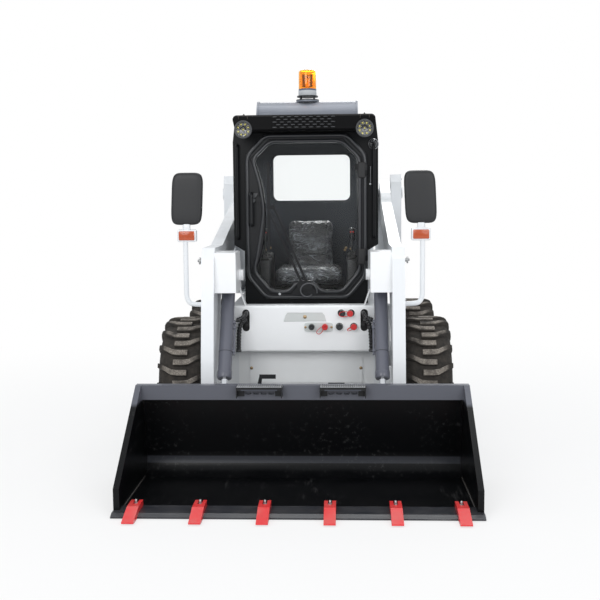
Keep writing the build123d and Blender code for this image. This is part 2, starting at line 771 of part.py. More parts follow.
def make_coupler():
    lean = degrees(atan2(bucket_heel_y - bucket_top_y, bucket_top_z - bucket_clear_z))
    # A plane on the bucket's back: its first axis is X, its second runs up the back plate
    back = Plane(origin=(0, bucket_heel_y, bucket_clear_z), x_dir=(-1, 0, 0),
                 z_dir=(0, cos(radians(lean)), sin(radians(lean))))
    with BuildPart() as coupler:
        with BuildSketch(back):
            with Locations((0, 130)):
                Rectangle(2 * coupler_half, 60)
            with Locations((0, 455)):
                Rectangle(2 * coupler_half, 50)
            with Locations((-coupler_half + 115, 290), (coupler_half - 115, 290)):
                Rectangle(230, 380)
            with Locations((-250, 290), (250, 290)):
                Rectangle(120, 380)
            with Locations((-tilt_x, 415), (tilt_x, 415)):
                Rectangle(tilt_eye_width + 4, 220, mode=Mode.SUBTRACT)
        extrude(amount=coupler_thickness)
        for sign in (-1, 1):
            for x, pin, radius, root in (
                (arm_inner_x - ear_gap - ear_wall, bucket_pivot, 48, 90),
                (arm_outer_x + ear_gap, bucket_pivot, 48, 90),
                (tilt_x - tilt_eye_width / 2 - ear_gap - ear_wall, tilt_eye_pin, 38, 60),
                (tilt_x + tilt_eye_width / 2 + ear_gap, tilt_eye_pin, 38, 60),
            ):
                low = min(sign * x, sign * (x + ear_wall))
                roots = [(back_y(z) + 14, z) for z in (pin[1] - root / 2, pin[1] + root / 2)]
                add(strap([(pin, radius), (roots[0], 12), (roots[1], 12)], low, low + ear_wall))
            # Locking lever: a round pivot on the inner upright, a flat bar and a turned grip
            lever_x, top = sign * lever_pivot_x, lever_top_z if sign < 0 else lever_low_z
            pivot_y = back_y(lever_pivot_z) + coupler_thickness
            with BuildSketch(Plane.XZ.offset(-pivot_y + 6)):
                with Locations((lever_x, lever_pivot_z)):
                    Circle(22)
            extrude(amount=-24)
            with BuildSketch(Plane.XZ.offset(-pivot_y - 6)):
                with Locations((lever_x, lever_pivot_z)):
                    Circle(16)
                with Locations((lever_x - sign * 26, top - 14)):
                    Circle(9)
                make_hull()
            extrude(amount=-10)
            grip = sorted((lever_x - sign * 18, lever_x - sign * 112))
            add(block(grip, (pivot_y + 6, pivot_y + 16), (top - 24, top)))
            pin_low = arm_inner_x - ear_gap - ear_wall - 6
            pin_high = arm_outer_x + ear_gap + ear_wall + 4
            ends = sorted((sign * pin_low, sign * pin_high))
            add(rod_between(ends[0], ends[1], bucket_pivot, pin_radius))
    save("coupler", coupler.part)


def make_cab():
    y0, y1 = cab_front_y, cab_rear_y
    shell = [(-cab_lower_half, cab_sill_z), (cab_lower_half, cab_sill_z), (cab_lower_half, cab_waist_z),
             (cab_upper_half, cab_waist_z + 40), (cab_upper_half, 1960), (visor_top_half, cab_roof_z),
             (-visor_top_half, cab_roof_z), (-cab_upper_half, 1960), (-cab_upper_half, cab_waist_z + 40),
             (-cab_lower_half, cab_waist_z)]
    w = cab_wall
    room = [(-cab_lower_half + w, cab_sill_z + 12), (cab_lower_half - w, cab_sill_z + 12),
            (cab_lower_half - w, cab_waist_z + 12), (cab_upper_half - w, cab_waist_z + 52),
            (cab_upper_half - w, 1950), (visor_top_half - w - 6, cab_roof_z - cab_roof_wall),
            (-visor_top_half + w + 6, cab_roof_z - cab_roof_wall), (-cab_upper_half + w, 1950),
            (-cab_upper_half + w, cab_waist_z + 52), (-cab_lower_half + w, cab_waist_z + 12)]
    with BuildPart() as cab:
        with BuildSketch(Plane.XZ.offset(-y0)):
            with BuildLine():
                Polyline(*shell, close=True)
            make_face()
        extrude(amount=-(y1 - y0))
        with BuildSketch(Plane.XZ.offset(-y0 - 60)):
            with BuildLine():
                Polyline(*room, close=True)
            make_face()
        extrude(amount=-(y1 - w - y0 - 60), mode=Mode.SUBTRACT)
        add(block((-footwell_half + footwell_wall, footwell_half - footwell_wall),
                  (y0 + footwell_wall, footwell_rear_y - footwell_wall), (cab_sill_z - 4, cab_sill_z + 40)),
            mode=Mode.SUBTRACT)
        # Windows: door opening, sides and rear
        with BuildSketch(Plane.XZ.offset(-y0 + 10)) as doorway:
            with Locations((0, (door_opening_bottom + door_opening_top) / 2)):
                Rectangle(2 * door_opening_half, door_opening_top - door_opening_bottom)
            fillet(doorway.vertices(), 60)
        extrude(amount=-90, mode=Mode.SUBTRACT)
        with BuildSketch(side_plane(-cab_upper_half - 20)) as side:
            side_opening(0)
        extrude(amount=2 * cab_upper_half + 40, mode=Mode.SUBTRACT)
        with BuildSketch(Plane.XZ.offset(-y1 + 60)) as back_light:
            rear_opening(0)
        extrude(amount=-90, mode=Mode.SUBTRACT)
        # Grab rails down both front corners
        for sign in (-1, 1):
            x, y = sign * rail_x, y0 - rail_standoff
            with BuildLine() as rail:
                FilletPolyline((x, y0 + 4, rail_low_z), (x, y, rail_low_z), (x, y, rail_high_z),
                               (x, y0 + 4, rail_high_z), radius=18)
            with BuildSketch(Plane(origin=rail.line @ 0, z_dir=rail.line % 0)):
                Circle(rail_radius)
            sweep(path=rail.line)
        # Ribs pressed into the roof
        for x in (-300, -150, 150, 300):
            for y in ((y0 + 60, roof_unit_y - roof_unit_radius - 40), (roof_unit_y + roof_unit_radius + 40, y1 - 60)):
                add(block((x - roof_rib_width / 2, x + roof_rib_width / 2), y,
                          (cab_roof_z - 2, cab_roof_z + roof_rib_height)))
        # Door hinge brackets: a knuckle under each of the door's, and the pin through both
        for z in door_hinge_heights:
            low = z - face_gap - hinge_knuckle_length
            add(block((door_hinge_x - hinge_knuckle_radius, door_hinge_x + hinge_knuckle_radius),
                      (door_hinge_y, y0 + 2), (low, z - face_gap)))
            with Locations((door_hinge_x, door_hinge_y, low)):
                Cylinder(hinge_knuckle_radius, hinge_knuckle_length, align=(Align.CENTER, Align.CENTER, Align.MIN))
                Cylinder(hinge_pin_radius, 2 * hinge_knuckle_length + 4, align=(Align.CENTER, Align.CENTER, Align.MIN))
    save("cab_shell", cab.part)


def make_footwell():
    # Sheet-metal tub for the operator's legs, hung under the cab's floor between the frame's walls
    w = footwell_wall
    with BuildPart() as tub:
        add(block((-footwell_half, footwell_half), (cab_front_y, footwell_rear_y),
                  (footwell_floor_z, cab_sill_z - pin_gap)))
        fillet(tub.edges().filter_by(Axis.Z), 30)
        add(block((-footwell_half + w, footwell_half - w), (cab_front_y + w, footwell_rear_y - w),
                  (footwell_floor_z + w, cab_sill_z + 20)), mode=Mode.SUBTRACT)
        # Two foot rests on the floor
        for sign in (-1, 1):
            x = sorted((sign * 120, sign * 300))
            add(block(x, (cab_front_y + 70, cab_front_y + 86), (footwell_floor_z + w - 1, footwell_floor_z + w + 20)))
    save("cab_footwell", tub.part)


def make_visor():
    # The moulding over the door: a side profile cut to its tapering front view, with a mesh
    # of staggered long hexagons sunk in its face.
    y_back = cab_front_y - face_gap
    with BuildPart() as visor:
        with BuildSketch(Plane.XZ.offset(-y_back)) as front:
            with BuildLine():
                Polyline((-visor_top_half, cab_roof_z), (visor_top_half, cab_roof_z),
                         (visor_bottom_half, visor_bottom_z), (-visor_bottom_half, visor_bottom_z), close=True)
            make_face()
            fillet(front.vertices().group_by(Axis.Y)[-1], 26)
        extrude(amount=y_back - visor_front_y)
        chamfer(visor.faces().sort_by(Axis.Y)[0].edges(), 10)
        with BuildSketch(Plane.XZ.offset(-visor_front_y)):
            for row in range(mesh_rows):
                shift = (row % 2) * mesh_pitch[0] / 2
                z = mesh_middle_z + (row - (mesh_rows - 1) / 2) * mesh_pitch[1]
                for column in range(mesh_columns - row % 2):
                    x = (column - (mesh_columns - 1) / 2) * mesh_pitch[0] + shift
                    long, high = mesh_hole[0] / 2, mesh_hole[1] / 2
                    with Locations((x, z)):
                        Polygon((-long, 0), (-long + high, high), (long - high, high), (long, 0),
                                (long - high, -high), (-long + high, -high), align=None)
        extrude(amount=-mesh_depth, mode=Mode.SUBTRACT)
    save("visor", visor.part)


def side_opening(margin):
    # The side window's outline in the side view, grown by a margin.
    y_low, z_low, y_high, z_high = side_window
    with Locations(((y_low + y_high) / 2, (z_low + z_high) / 2)):
        RectangleRounded(y_high - y_low + 2 * margin, z_high - z_low + 2 * margin, 50 + margin)


def rear_opening(margin):
    with Locations((0, (rear_window_bottom + rear_window_top) / 2)):
        RectangleRounded(2 * (rear_window_half + margin), rear_window_top - rear_window_bottom + 2 * margin, 45 + margin)


def make_cab_glass():
    with BuildPart() as glass:
        for sign in (-1, 1):
            with BuildSketch(side_plane(sign * (cab_upper_half - cab_wall - face_gap))):
                side_opening(20)
            extrude(amount=-sign * glass_thickness)
        with BuildSketch(Plane.XZ.offset(-cab_rear_y + cab_wall + face_gap)):
            rear_opening(20)
        extrude(amount=glass_thickness)
    save("cab_glass", glass.part)


def make_lamps():
    with BuildPart() as lamps:
        for sign in (-1, 1):
            with BuildSketch(Plane.XZ.offset(-visor_front_y + face_gap)):
                with Locations((sign * work_lamp_x, work_lamp_z)):
                    Circle(work_lamp_radius)
            extrude(amount=12)
            x = sorted((sign * (tailgate_half + tailgate_gap + 6), sign * (frame_half_width - 12)))
            add(block(x, (cowl_rear_y + pin_gap, cowl_rear_y + 24), (1050, 1260)))
        # Beacon's dome: straight sides and a rounded shoulder
        with BuildSketch(Plane.XZ.offset(-roof_unit_y)):
            with BuildLine():
                Polyline((0, dome_bottom_z), (beacon_radius + 2, dome_bottom_z),
                         (beacon_radius + 2, dome_bottom_z + beacon_dome_height - 14),
                         (beacon_radius - 10, dome_bottom_z + beacon_dome_height), (0, dome_bottom_z + beacon_dome_height),
                         close=True)
            make_face()
        revolve(axis=Axis((0, roof_unit_y, 0), (0, 0, 1)))
    save("lamps", lamps.part)


def make_roof():
    middle = (roof_unit_y, cab_roof_z + face_gap)
    with BuildPart() as unit:
        # Half-round tank across the roof, with a flange at each end and a rail along its foot
        for half, radius in ((roof_unit_half - 12, roof_unit_radius - 6), (roof_unit_half, roof_unit_radius)):
            with BuildSketch(side_plane(-half)):
                with Locations(middle):
                    Circle(radius)
                with Locations((middle[0], middle[1] - 2 * radius)):
                    Rectangle(5 * radius, 4 * radius, mode=Mode.SUBTRACT)
            extrude(amount=2 * half if radius < roof_unit_radius else 12)
        with BuildSketch(side_plane(roof_unit_half - 12)):
            with Locations(middle):
                Circle(roof_unit_radius)
            with Locations((middle[0], middle[1] - 2 * roof_unit_radius)):
                Rectangle(5 * roof_unit_radius, 4 * roof_unit_radius, mode=Mode.SUBTRACT)
        extrude(amount=12)
        for sign in (-1, 1):
            y = sorted((roof_unit_y + sign * (roof_unit_radius - 12), roof_unit_y + sign * (roof_unit_radius + 22)))
            add(block((-roof_unit_half, roof_unit_half), y, (middle[1], middle[1] + 8)))
        # Clamp ring on four legs under the beacon's foot
        ring_z = middle[1] + roof_unit_radius - 8
        with BuildSketch(Plane.XY.offset(ring_z)):
            with Locations((0, roof_unit_y)):
                Circle(beacon_radius + 18)
                Circle(beacon_radius - 6, mode=Mode.SUBTRACT)
        extrude(amount=ring_height + 2)
        with BuildSketch(Plane.XY.offset(ring_z)):
            with Locations((0, roof_unit_y)):
                with PolarLocations(beacon_radius + 4, 4, start_angle=45):
                    Circle(6)
        extrude(amount=beacon_foot_z - ring_z)
        with BuildSketch(Plane.XY.offset(beacon_foot_z)):
            with Locations((0, roof_unit_y)):
                Circle(beacon_radius + 12)
        extrude(amount=8)
        with BuildSketch(Plane.XY.offset(beacon_foot_z)):
            with Locations((0, roof_unit_y)):
                Circle(beacon_radius)
        extrude(amount=beacon_base_height)
    save("roof_unit", unit.part)


def door_outline(inset):
    # The door's octagon seen from the front, inset from its edge.
    x0, x1 = door_left_x + inset, door_right_x - inset
    z0, z1 = door_bottom_z + inset, door_top_z - inset
    c = door_corner - 0.4 * inset
    return [(x0 + c, z0), (x1 - c, z0), (x1, z0 + 1.2 * c), (x1, z1 - c), (x1 - c, z1), (x0 + c, z1),
            (x0, z1 - c), (x0, z0 + 1.2 * c)]


def door_window(inset):
    # The door's window: an octagon whose left side bulges round the lock and whose foot steps over the wiper motor.
    outline = door_outline(door_frame_width + inset)
    foot, right_foot, right_low, right_high, right_top, left_top, left_high, left_low = outline
    half = door_motor_width / 2 + inset
    rise = door_motor_height
    with BuildLine() as edge:
        Polyline(left_high, left_top, right_top, right_high, right_low, right_foot,
                 (door_motor_x + half + 24, foot[1]), (door_motor_x + half - 24, foot[1] + rise),
                 (door_motor_x - half + 24, foot[1] + rise), (door_motor_x - half - 24, foot[1]), foot, left_low)
        ThreePointArc(left_low, (left_low[0] + door_bulge_depth, door_bulge_z - 40), left_high)
    return edge.line


def make_door():
    face_y = cab_front_y - door_gap
    front = Plane.XZ.offset(-face_y)
    skin = door_thickness - door_rib_height
    with BuildPart() as door:
        with BuildSketch(front):
            with BuildLine():
                Polyline(*door_outline(0), close=True)
            make_face()
        extrude(amount=skin)
        # Two raised tubular ribs, one round the door's edge and one round its window
        with BuildSketch(front):
            with BuildLine():
                Polyline(*door_outline(0), close=True)
            make_face()
            with BuildLine():
                Polyline(*door_outline(door_rib_width), close=True)
            make_face(mode=Mode.SUBTRACT)
        extrude(amount=door_thickness)
        with BuildSketch(front):
            add(door_window(0))
            make_face()
            offset(amount=door_rib_width, kind=Kind.INTERSECTION)
        extrude(amount=door_thickness)
        with BuildSketch(front):
            add(door_window(0))
            make_face()
        extrude(amount=door_thickness + 5, mode=Mode.SUBTRACT)
        front_edges = door.faces().group_by(Axis.Y)[0].edges()
        chamfer(front_edges, 5)
        # Hinge leaves and knuckles at the right edge, which is cut back round the cab's brackets
        for z in door_hinge_heights:
            low = z - face_gap - hinge_knuckle_length
            add(block((door_hinge_x - hinge_knuckle_radius - 4, door_right_x + 10),
                      (face_y - door_thickness - 5, face_y + 5), (low - 4, z + hinge_knuckle_length + 4)),
                mode=Mode.SUBTRACT)
            with BuildSketch(Plane.XY.offset(z)):
                with Locations((door_hinge_x, door_hinge_y)):
                    Circle(hinge_knuckle_radius)
                with Locations((door_hinge_x - 34, door_hinge_y)):
                    Rectangle(68, 14)
                with Locations((door_hinge_x, door_hinge_y)):
                    Circle(hinge_pin_radius + pin_gap, mode=Mode.SUBTRACT)
            extrude(amount=hinge_knuckle_length)
        # Grab handle on two feet, and the lock beside it
        handle_y = face_y - skin
        handle_x = door_left_x + 40
        with BuildLine() as grip:
            FilletPolyline((handle_x, handle_y + 4, 1432), (handle_x, handle_y - 42, 1432),
                           (handle_x, handle_y - 42, 1632), (handle_x, handle_y + 4, 1632), radius=20)
        with BuildSketch(Plane(origin=grip.line @ 0, z_dir=grip.line % 0)):
            Circle(11)
        sweep(path=grip.line)
        with BuildSketch(Plane.XZ.offset(-handle_y)):
            with Locations((handle_x + 44, 1594)):
                Circle(20)
        extrude(amount=14)
        # Wiper: motor cover on the frame's foot, two parallel arms, the blade's carrier and the blade
        with BuildSketch(Plane.XZ.offset(-face_y + door_thickness + pin_gap)):
            with Locations((door_motor_x, wiper_z)):
                RectangleRounded(96, 56, 20)
        extrude(amount=18)
        for start, end in (((door_motor_x - 14, wiper_z + 4), (blade_x - 8, 1540)),
                           ((door_motor_x + 18, wiper_z + 4), (blade_x + 34, 1545))):
            with BuildSketch(Plane.XZ.offset(-face_y + skin + 20)):
                with Locations(start):
                    Circle(9)
                with Locations(end):
                    Circle(6)
                make_hull()
            extrude(amount=10)
        add(block((blade_x - 12, blade_x + 42), (face_y - skin - 30, face_y - skin - 18), (1532, 1556)))
        with BuildSketch(Plane.XY.offset(1270)):
            with BuildLine():
                Polyline((blade_x - 9, face_y - skin - 18), (blade_x - 2, face_y - 10 - glass_thickness - face_gap),
                         (blade_x + 2, face_y - 10 - glass_thickness - face_gap), (blade_x + 9, face_y - skin - 18),
                         close=True)
            make_face()
        extrude(amount=560)
    save("door_frame", door.part)
    with BuildPart() as pane:
        with BuildSketch(Plane.XZ.offset(-face_y + 10)):
            add(door_window(0))
            make_face()
            offset(amount=-face_gap, kind=Kind.INTERSECTION)
        extrude(amount=glass_thickness)
    save("door_glass", pane.part)


def make_cab_inside():
    with BuildPart() as base:
        add(block((-190, 190), (edge_y + 1950, edge_y + 2300), (cab_sill_z + 12, cushion_bottom_z)))
        for sign in (-1, 1):
            x = sorted((sign * 262, sign * 340))
            add(block(x, (edge_y + 1900, edge_y + 2330), (cab_sill_z + 12, 1190)))
            with Locations((sign * 300, edge_y + 1935, 1190)):
                Cylinder(9, 120, align=(Align.CENTER, Align.CENTER, Align.MIN))
            with Locations((sign * 300, edge_y + 1935, 1310)):
                Cylinder(22, 90, align=(Align.CENTER, Align.CENTER, Align.MIN))
    save("seat_consoles", base.part)
    with BuildPart() as cushion:
        add(block((-seat_half_width, seat_half_width), (seat_front_y, seat_front_y + seat_depth),
                  (cushion_bottom_z + pin_gap, cushion_bottom_z + cushion_thickness)))
        fillet(cushion.edges().filter_by(Axis.Z), 50)
        fillet(cushion.faces().sort_by(Axis.Z)[-1].edges(), 25)
    save("seat_cushion", cushion.part)
    lean = radians(back_lean)
    y0 = seat_front_y + seat_depth + pin_gap
    z0 = cushion_bottom_z + 40
    plane = Plane(origin=(0, y0, z0), x_dir=(1, 0, 0), z_dir=(0, -cos(lean), sin(lean)))
    with BuildPart() as rest:
        with BuildSketch(plane):
            with Locations((0, back_height / 2)):
                RectangleRounded(2 * back_half_width, back_height, 60)
        extrude(amount=-back_thickness)
    save("seat_back", rest.part)


def make_engine_bay():
    with BuildPart() as engine:
        with Locations((0, engine_y, frame_floor_z + frame_wall + 60)):
            Box(*engine_size, align=(Align.CENTER, Align.CENTER, Align.MIN))
        add(block((-200, -150), (engine_y - 100, engine_y + 100),
                  (frame_floor_z + frame_wall, frame_floor_z + frame_wall + 60)))
        add(block((150, 200), (engine_y - 100, engine_y + 100),
                  (frame_floor_z + frame_wall, frame_floor_z + frame_wall + 60)))
    save("engine_block", engine.part)
    side = [(cowl_front_y, deck_z), (cowl_rear_y, deck_z), (cowl_rear_y, cowl_top_z - 60),
            (cowl_rear_y - 60, cowl_top_z), (cowl_front_y, cowl_top_z)]
    w = cowl_wall
    inner = [(cowl_front_y + w, deck_z - 10), (cowl_rear_y + 30, deck_z - 10), (cowl_rear_y + 30, cowl_top_z - 60),
             (cowl_rear_y - 60, cowl_top_z + 30), (cowl_front_y + w, cowl_top_z + 30)]
    with BuildPart() as cowl:
        add(slab(side, -cowl_half, cowl_half))
        add(slab(inner, -cowl_half + w, cowl_half - w), mode=Mode.SUBTRACT)
        # Corner posts beside the tailgate
        for sign in (-1, 1):
            x = sorted((sign * (tailgate_half + tailgate_gap), sign * (frame_half_width - 4)))
            add(block(x, (frame_rear_y + 2, cowl_rear_y), (bumper_bottom_z + bumper_height, cowl_top_z - 62)))
        # Lid hinges: a knuckle beside each of the lid's, on the front wall's top edge, and the pin through both
        for x in (-lid_knuckle_x, lid_knuckle_x - hinge_knuckle_length):
            low = x + hinge_knuckle_length + face_gap
            add(block((low, low + hinge_knuckle_length), (lid_hinge[0] - 4, lid_hinge[0] + 4), (cowl_top_z - 2, lid_hinge[1])))
            add(rod_between(low, low + hinge_knuckle_length, lid_hinge, lid_knuckle_radius))
            add(rod_between(x, low + 1, lid_hinge, lid_pin_radius))
        # Louvres in both sides
        with BuildSketch(side_plane(-cowl_half - 5)):
            with Locations((cowl_front_y + 420, 1235)):
                with GridLocations(0, 36, 1, 8):
                    SlotOverall(300, 14)
        extrude(amount=2 * cowl_half + 10, mode=Mode.SUBTRACT)
        # Tailgate hinges on the left post
        for z in gate_hinge_heights:
            low = z - face_gap - hinge_knuckle_length
            add(block((gate_hinge_x - hinge_knuckle_radius, gate_hinge_x + hinge_knuckle_radius),
                      (cowl_rear_y - 2, gate_hinge_y), (low, z - face_gap)))
            with Locations((gate_hinge_x, gate_hinge_y, low)):
                Cylinder(hinge_knuckle_radius, hinge_knuckle_length, align=(Align.CENTER, Align.CENTER, Align.MIN))
                Cylinder(hinge_pin_radius, 2 * hinge_knuckle_length + 4, align=(Align.CENTER, Align.CENTER, Align.MIN))
    save("engine_cowl", cowl.part)
    top = [(lid_front_y, cowl_top_z + face_gap), (cowl_rear_y - 59.8, cowl_top_z + face_gap),
           (cowl_rear_y + face_gap, cowl_top_z - 59.8), (cowl_rear_y + 26, cowl_top_z - 50),
           (cowl_rear_y - 50, cowl_top_z + lid_thickness), (lid_front_y, cowl_top_z + lid_thickness)]
    with BuildPart() as lid:
        add(slab(top, -cowl_half, cowl_half))
        # Cooling slots across the lid, and its hinge knuckles
        with BuildSketch(Plane.XY.offset(cowl_top_z - 4)):
            with Locations((0, (lid_front_y + cowl_rear_y) / 2 - 20)):
                with GridLocations(0, 44, 1, 9):
                    SlotOverall(560, 18)
        extrude(amount=lid_thickness + 8, mode=Mode.SUBTRACT)
        for x in (-lid_knuckle_x, lid_knuckle_x - hinge_knuckle_length):
            add(block((x, x + hinge_knuckle_length), (lid_hinge[0], lid_front_y + 2), (lid_hinge[1] - 5, lid_hinge[1] + 5)))
            add(rod_between(x, x + hinge_knuckle_length, lid_hinge, lid_knuckle_radius))
            add(rod_between(x - 1, x + hinge_knuckle_length + 1, lid_hinge, lid_pin_radius + pin_gap), mode=Mode.SUBTRACT)
    save("hood_lid", lid.part)
    with BuildPart() as gate:
        add(block((-tailgate_half, tailgate_half), (cowl_rear_y - 10, cowl_rear_y - 10 + tailgate_thickness),
                  (tailgate_bottom_z, tailgate_top_z)))
        fillet(gate.edges().filter_by(Axis.Y), 40)
        inner_y = cowl_rear_y - 10
        add(block((-tailgate_half + gate_rim, tailgate_half - gate_rim), (inner_y - 5, inner_y + tailgate_thickness - gate_skin),
                  (tailgate_bottom_z + gate_rim, tailgate_top_z - gate_rim)), mode=Mode.SUBTRACT)
        with BuildSketch(Plane.XZ.offset(-inner_y)):
            with Locations((0, gate_grille_z)):
                with GridLocations(310, 34, 2, 11):
                    SlotOverall(280, 16)
        extrude(amount=-tailgate_thickness - 5, mode=Mode.SUBTRACT)
        with BuildSketch(Plane.XZ.offset(-(inner_y + tailgate_thickness + 1))):
            with Locations((tailgate_half - 70, 840)):
                RectangleRounded(60, 120, 12)
        extrude(amount=6, mode=Mode.SUBTRACT)
        for z in gate_hinge_heights:
            with BuildSketch(Plane.XY.offset(z)):
                with Locations((gate_hinge_x, gate_hinge_y)):
                    Circle(hinge_knuckle_radius)
                with Locations((gate_hinge_x + 16, gate_hinge_y + 3)):
                    Rectangle(40, 14)
                with Locations((gate_hinge_x, gate_hinge_y)):
                    Circle(hinge_pin_radius + pin_gap, mode=Mode.SUBTRACT)
            extrude(amount=hinge_knuckle_length)
    save("tailgate", gate.part)


def make_mirrors():
    w, d, h = indicator_size
    with BuildPart() as mirrors:
        with BuildSketch(Plane.XZ.offset(-mirror_y)):
            with Locations((mirror_x, mirror_bottom_z + mirror_height / 2)):
                RectangleRounded(mirror_width, mirror_height, 22)
        extrude(amount=mirror_depth / 2, both=True)
        chamfer(mirrors.faces().sort_by(Axis.Y)[0].edges(), 9)
        with Locations((mirror_x + 4, mirror_y + 4, indicator_z)):
            Box(w, d, h)
        with BuildLine() as route:
            FilletPolyline((mirror_tube_x, mirror_y + 4, mirror_bottom_z + 10), (mirror_tube_x, mirror_y + 4, 1010),
                           (mirror_tube_x - 25, mirror_y + 4, 960), (arm_outer_x + 2, mirror_y + 4, 960), radius=30)
        with BuildSketch(Plane(origin=route.line @ 0, z_dir=route.line % 0)):
            Circle(mirror_tube_radius)
        sweep()
        add(block((arm_outer_x + 0, arm_outer_x + 8), (mirror_y - 36, mirror_y + 44), (925, 1000)))
    mirrored("mirrors", mirrors.part)


def tube(points, radius, bend):
    # A hose: straight runs joined by arcs, swept with a circle.
    with BuildPart() as hose:
        with BuildLine() as route:
            FilletPolyline(*points, radius=bend)
        with BuildSketch(Plane(origin=route.line @ 0, z_dir=route.line % 0)):
            Circle(radius)
        sweep()
    return hose.part


def make_hoses():
    dy = tilt_eye_pin[0] - tilt_top_pin[0]
    dz = tilt_eye_pin[1] - tilt_top_pin[1]
    share = port_height / hypot(dy, dz)
    port = (tilt_top_pin[0] + dy * share, tilt_top_pin[1] + dz * share)
    port_x = tilt_x - tilt_barrel_radius - 10 - face_gap
    inside = member_front_y + 40
    x = hose_slot_x - 8
    with BuildPart() as hoses:
        add(tube([(x, inside, port[1]), (x, port[0], port[1]), (port_x, port[0], port[1])], hose_radius, 36))
        x = hose_slot_x + 8
        front = member_front_y - 48
        add(tube([(x, inside, hose_slot_z + 50), (x, front, hose_slot_z + 46), (x + 22, front - 8, hose_slot_z - 50),
                  (x + 24, front - 4, hose_slot_z - 190)], loom_radius, 44))
    mirrored("hoses", hoses.part)


def make_aux_couplers():
    face = member_front_y
    with BuildPart() as couplers:
        for x, z, reach in ((232, coupler_high_z, 46), (280, coupler_high_z, 52), (214, coupler_low_z, 44),
                            (303, coupler_low_z, 40)):
            with BuildSketch(Plane.XZ.offset(-face + pin_gap)):
                with Locations((x, z)):
                    Circle(18)
            extrude(amount=reach)
            with BuildSketch(Plane.XZ.offset(-face + pin_gap)):
                with Locations((x, z)):
                    Circle(16)
            extrude(amount=-30)
        with BuildSketch(Plane.XZ.offset(-face + pin_gap)):
            with Locations((84, coupler_low_z - 4)):
                RectangleRounded(176, 60, 12)
            with Locations((256, coupler_high_z)):
                SlotOverall(126, 60)
            with Locations((214, coupler_low_z), (303, coupler_low_z)):
                Circle(30)
        extrude(amount=6)
        for x in (42, 124):
            with BuildSketch(Plane.XZ.offset(-face + 6)):
                with Locations((x, coupler_low_z)):
                    Circle(17)
            extrude(amount=40)
    save("aux_couplers", couplers.part)


place_wheels()
make_hoses()
make_aux_couplers()
make_frame()
make_rear_bumper()
make_towers()
make_arm()
make_member()
make_cylinders()
make_bucket()
make_coupler()
make_cab()
make_footwell()
make_visor()
make_cab_glass()
make_lamps()
make_roof()
make_door()
make_cab_inside()
make_engine_bay()
make_mirrors()
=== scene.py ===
import math

import bmesh
import bpy
import numpy as np
from mathutils import Matrix, Vector


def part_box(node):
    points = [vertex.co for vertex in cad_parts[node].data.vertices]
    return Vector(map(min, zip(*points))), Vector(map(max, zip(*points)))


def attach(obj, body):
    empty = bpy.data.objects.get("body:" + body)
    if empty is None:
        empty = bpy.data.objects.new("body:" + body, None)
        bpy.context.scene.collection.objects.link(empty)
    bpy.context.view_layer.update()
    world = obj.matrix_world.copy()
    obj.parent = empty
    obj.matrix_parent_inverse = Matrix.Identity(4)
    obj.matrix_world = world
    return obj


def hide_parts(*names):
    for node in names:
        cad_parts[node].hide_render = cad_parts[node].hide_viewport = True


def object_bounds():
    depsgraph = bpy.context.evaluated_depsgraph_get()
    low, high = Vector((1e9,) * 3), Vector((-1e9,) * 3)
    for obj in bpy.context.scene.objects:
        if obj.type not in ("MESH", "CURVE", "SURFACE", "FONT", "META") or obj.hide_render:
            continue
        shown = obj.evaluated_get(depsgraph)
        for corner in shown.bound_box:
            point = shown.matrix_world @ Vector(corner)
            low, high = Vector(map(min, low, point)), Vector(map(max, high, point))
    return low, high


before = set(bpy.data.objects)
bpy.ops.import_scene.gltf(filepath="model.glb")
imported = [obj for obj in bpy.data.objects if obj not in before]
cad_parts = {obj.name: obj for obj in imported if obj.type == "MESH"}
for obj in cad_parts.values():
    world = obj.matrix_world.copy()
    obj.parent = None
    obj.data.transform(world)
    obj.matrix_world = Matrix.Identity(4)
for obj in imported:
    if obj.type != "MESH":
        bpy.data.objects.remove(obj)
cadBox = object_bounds()
print("frame loaded")


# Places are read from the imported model's own boxes, in metres

def corner(node):
    low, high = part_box(node)
    return np.array(low), np.array(high)


edgeY = corner("cutting_edge")[0][1]  # the bucket's cutting edge, foremost but for the teeth
sides = (("left", -1), ("right", 1))
wheels = [(f"{axle}_{side}", sign) for axle in ("front", "rear") for side, sign in sides]
ahead, upward = (0, -1, 0), (0, 0, 1)


# Mesh makers: every shape is a pair (verts, faces), worked out as whole arrays

# Quads between neighbouring points of a grid of rows and columns, closed or open either way
def gridFaces(rows, columns, closeRows=False, closeColumns=False):
    r = np.arange(rows if closeRows else rows - 1)
    c = np.arange(columns if closeColumns else columns - 1)
    r, c = np.meshgrid(r, c, indexing="ij")
    r2, c2 = (r + 1) % rows, (c + 1) % columns
    quads = np.stack([r * columns + c, r2 * columns + c, r2 * columns + c2, r * columns + c2], -1)
    return quads.reshape(-1, 4).tolist()


# Faces of closed rings lying one behind the other, with a cap over the first and the last
def ringFaces(rows, columns):
    return gridFaces(rows, columns, closeColumns=True) + [
        list(range(columns)), list(range((rows - 1) * columns, rows * columns))]


# Joins several shapes into one
def joined(shapes):
    verts, faces, start = [], [], 0
    for v, f in shapes:
        verts.append(np.asarray(v, float))
        faces += [[i + start for i in face] for face in f]
        start += len(v)
    return np.concatenate(verts), faces


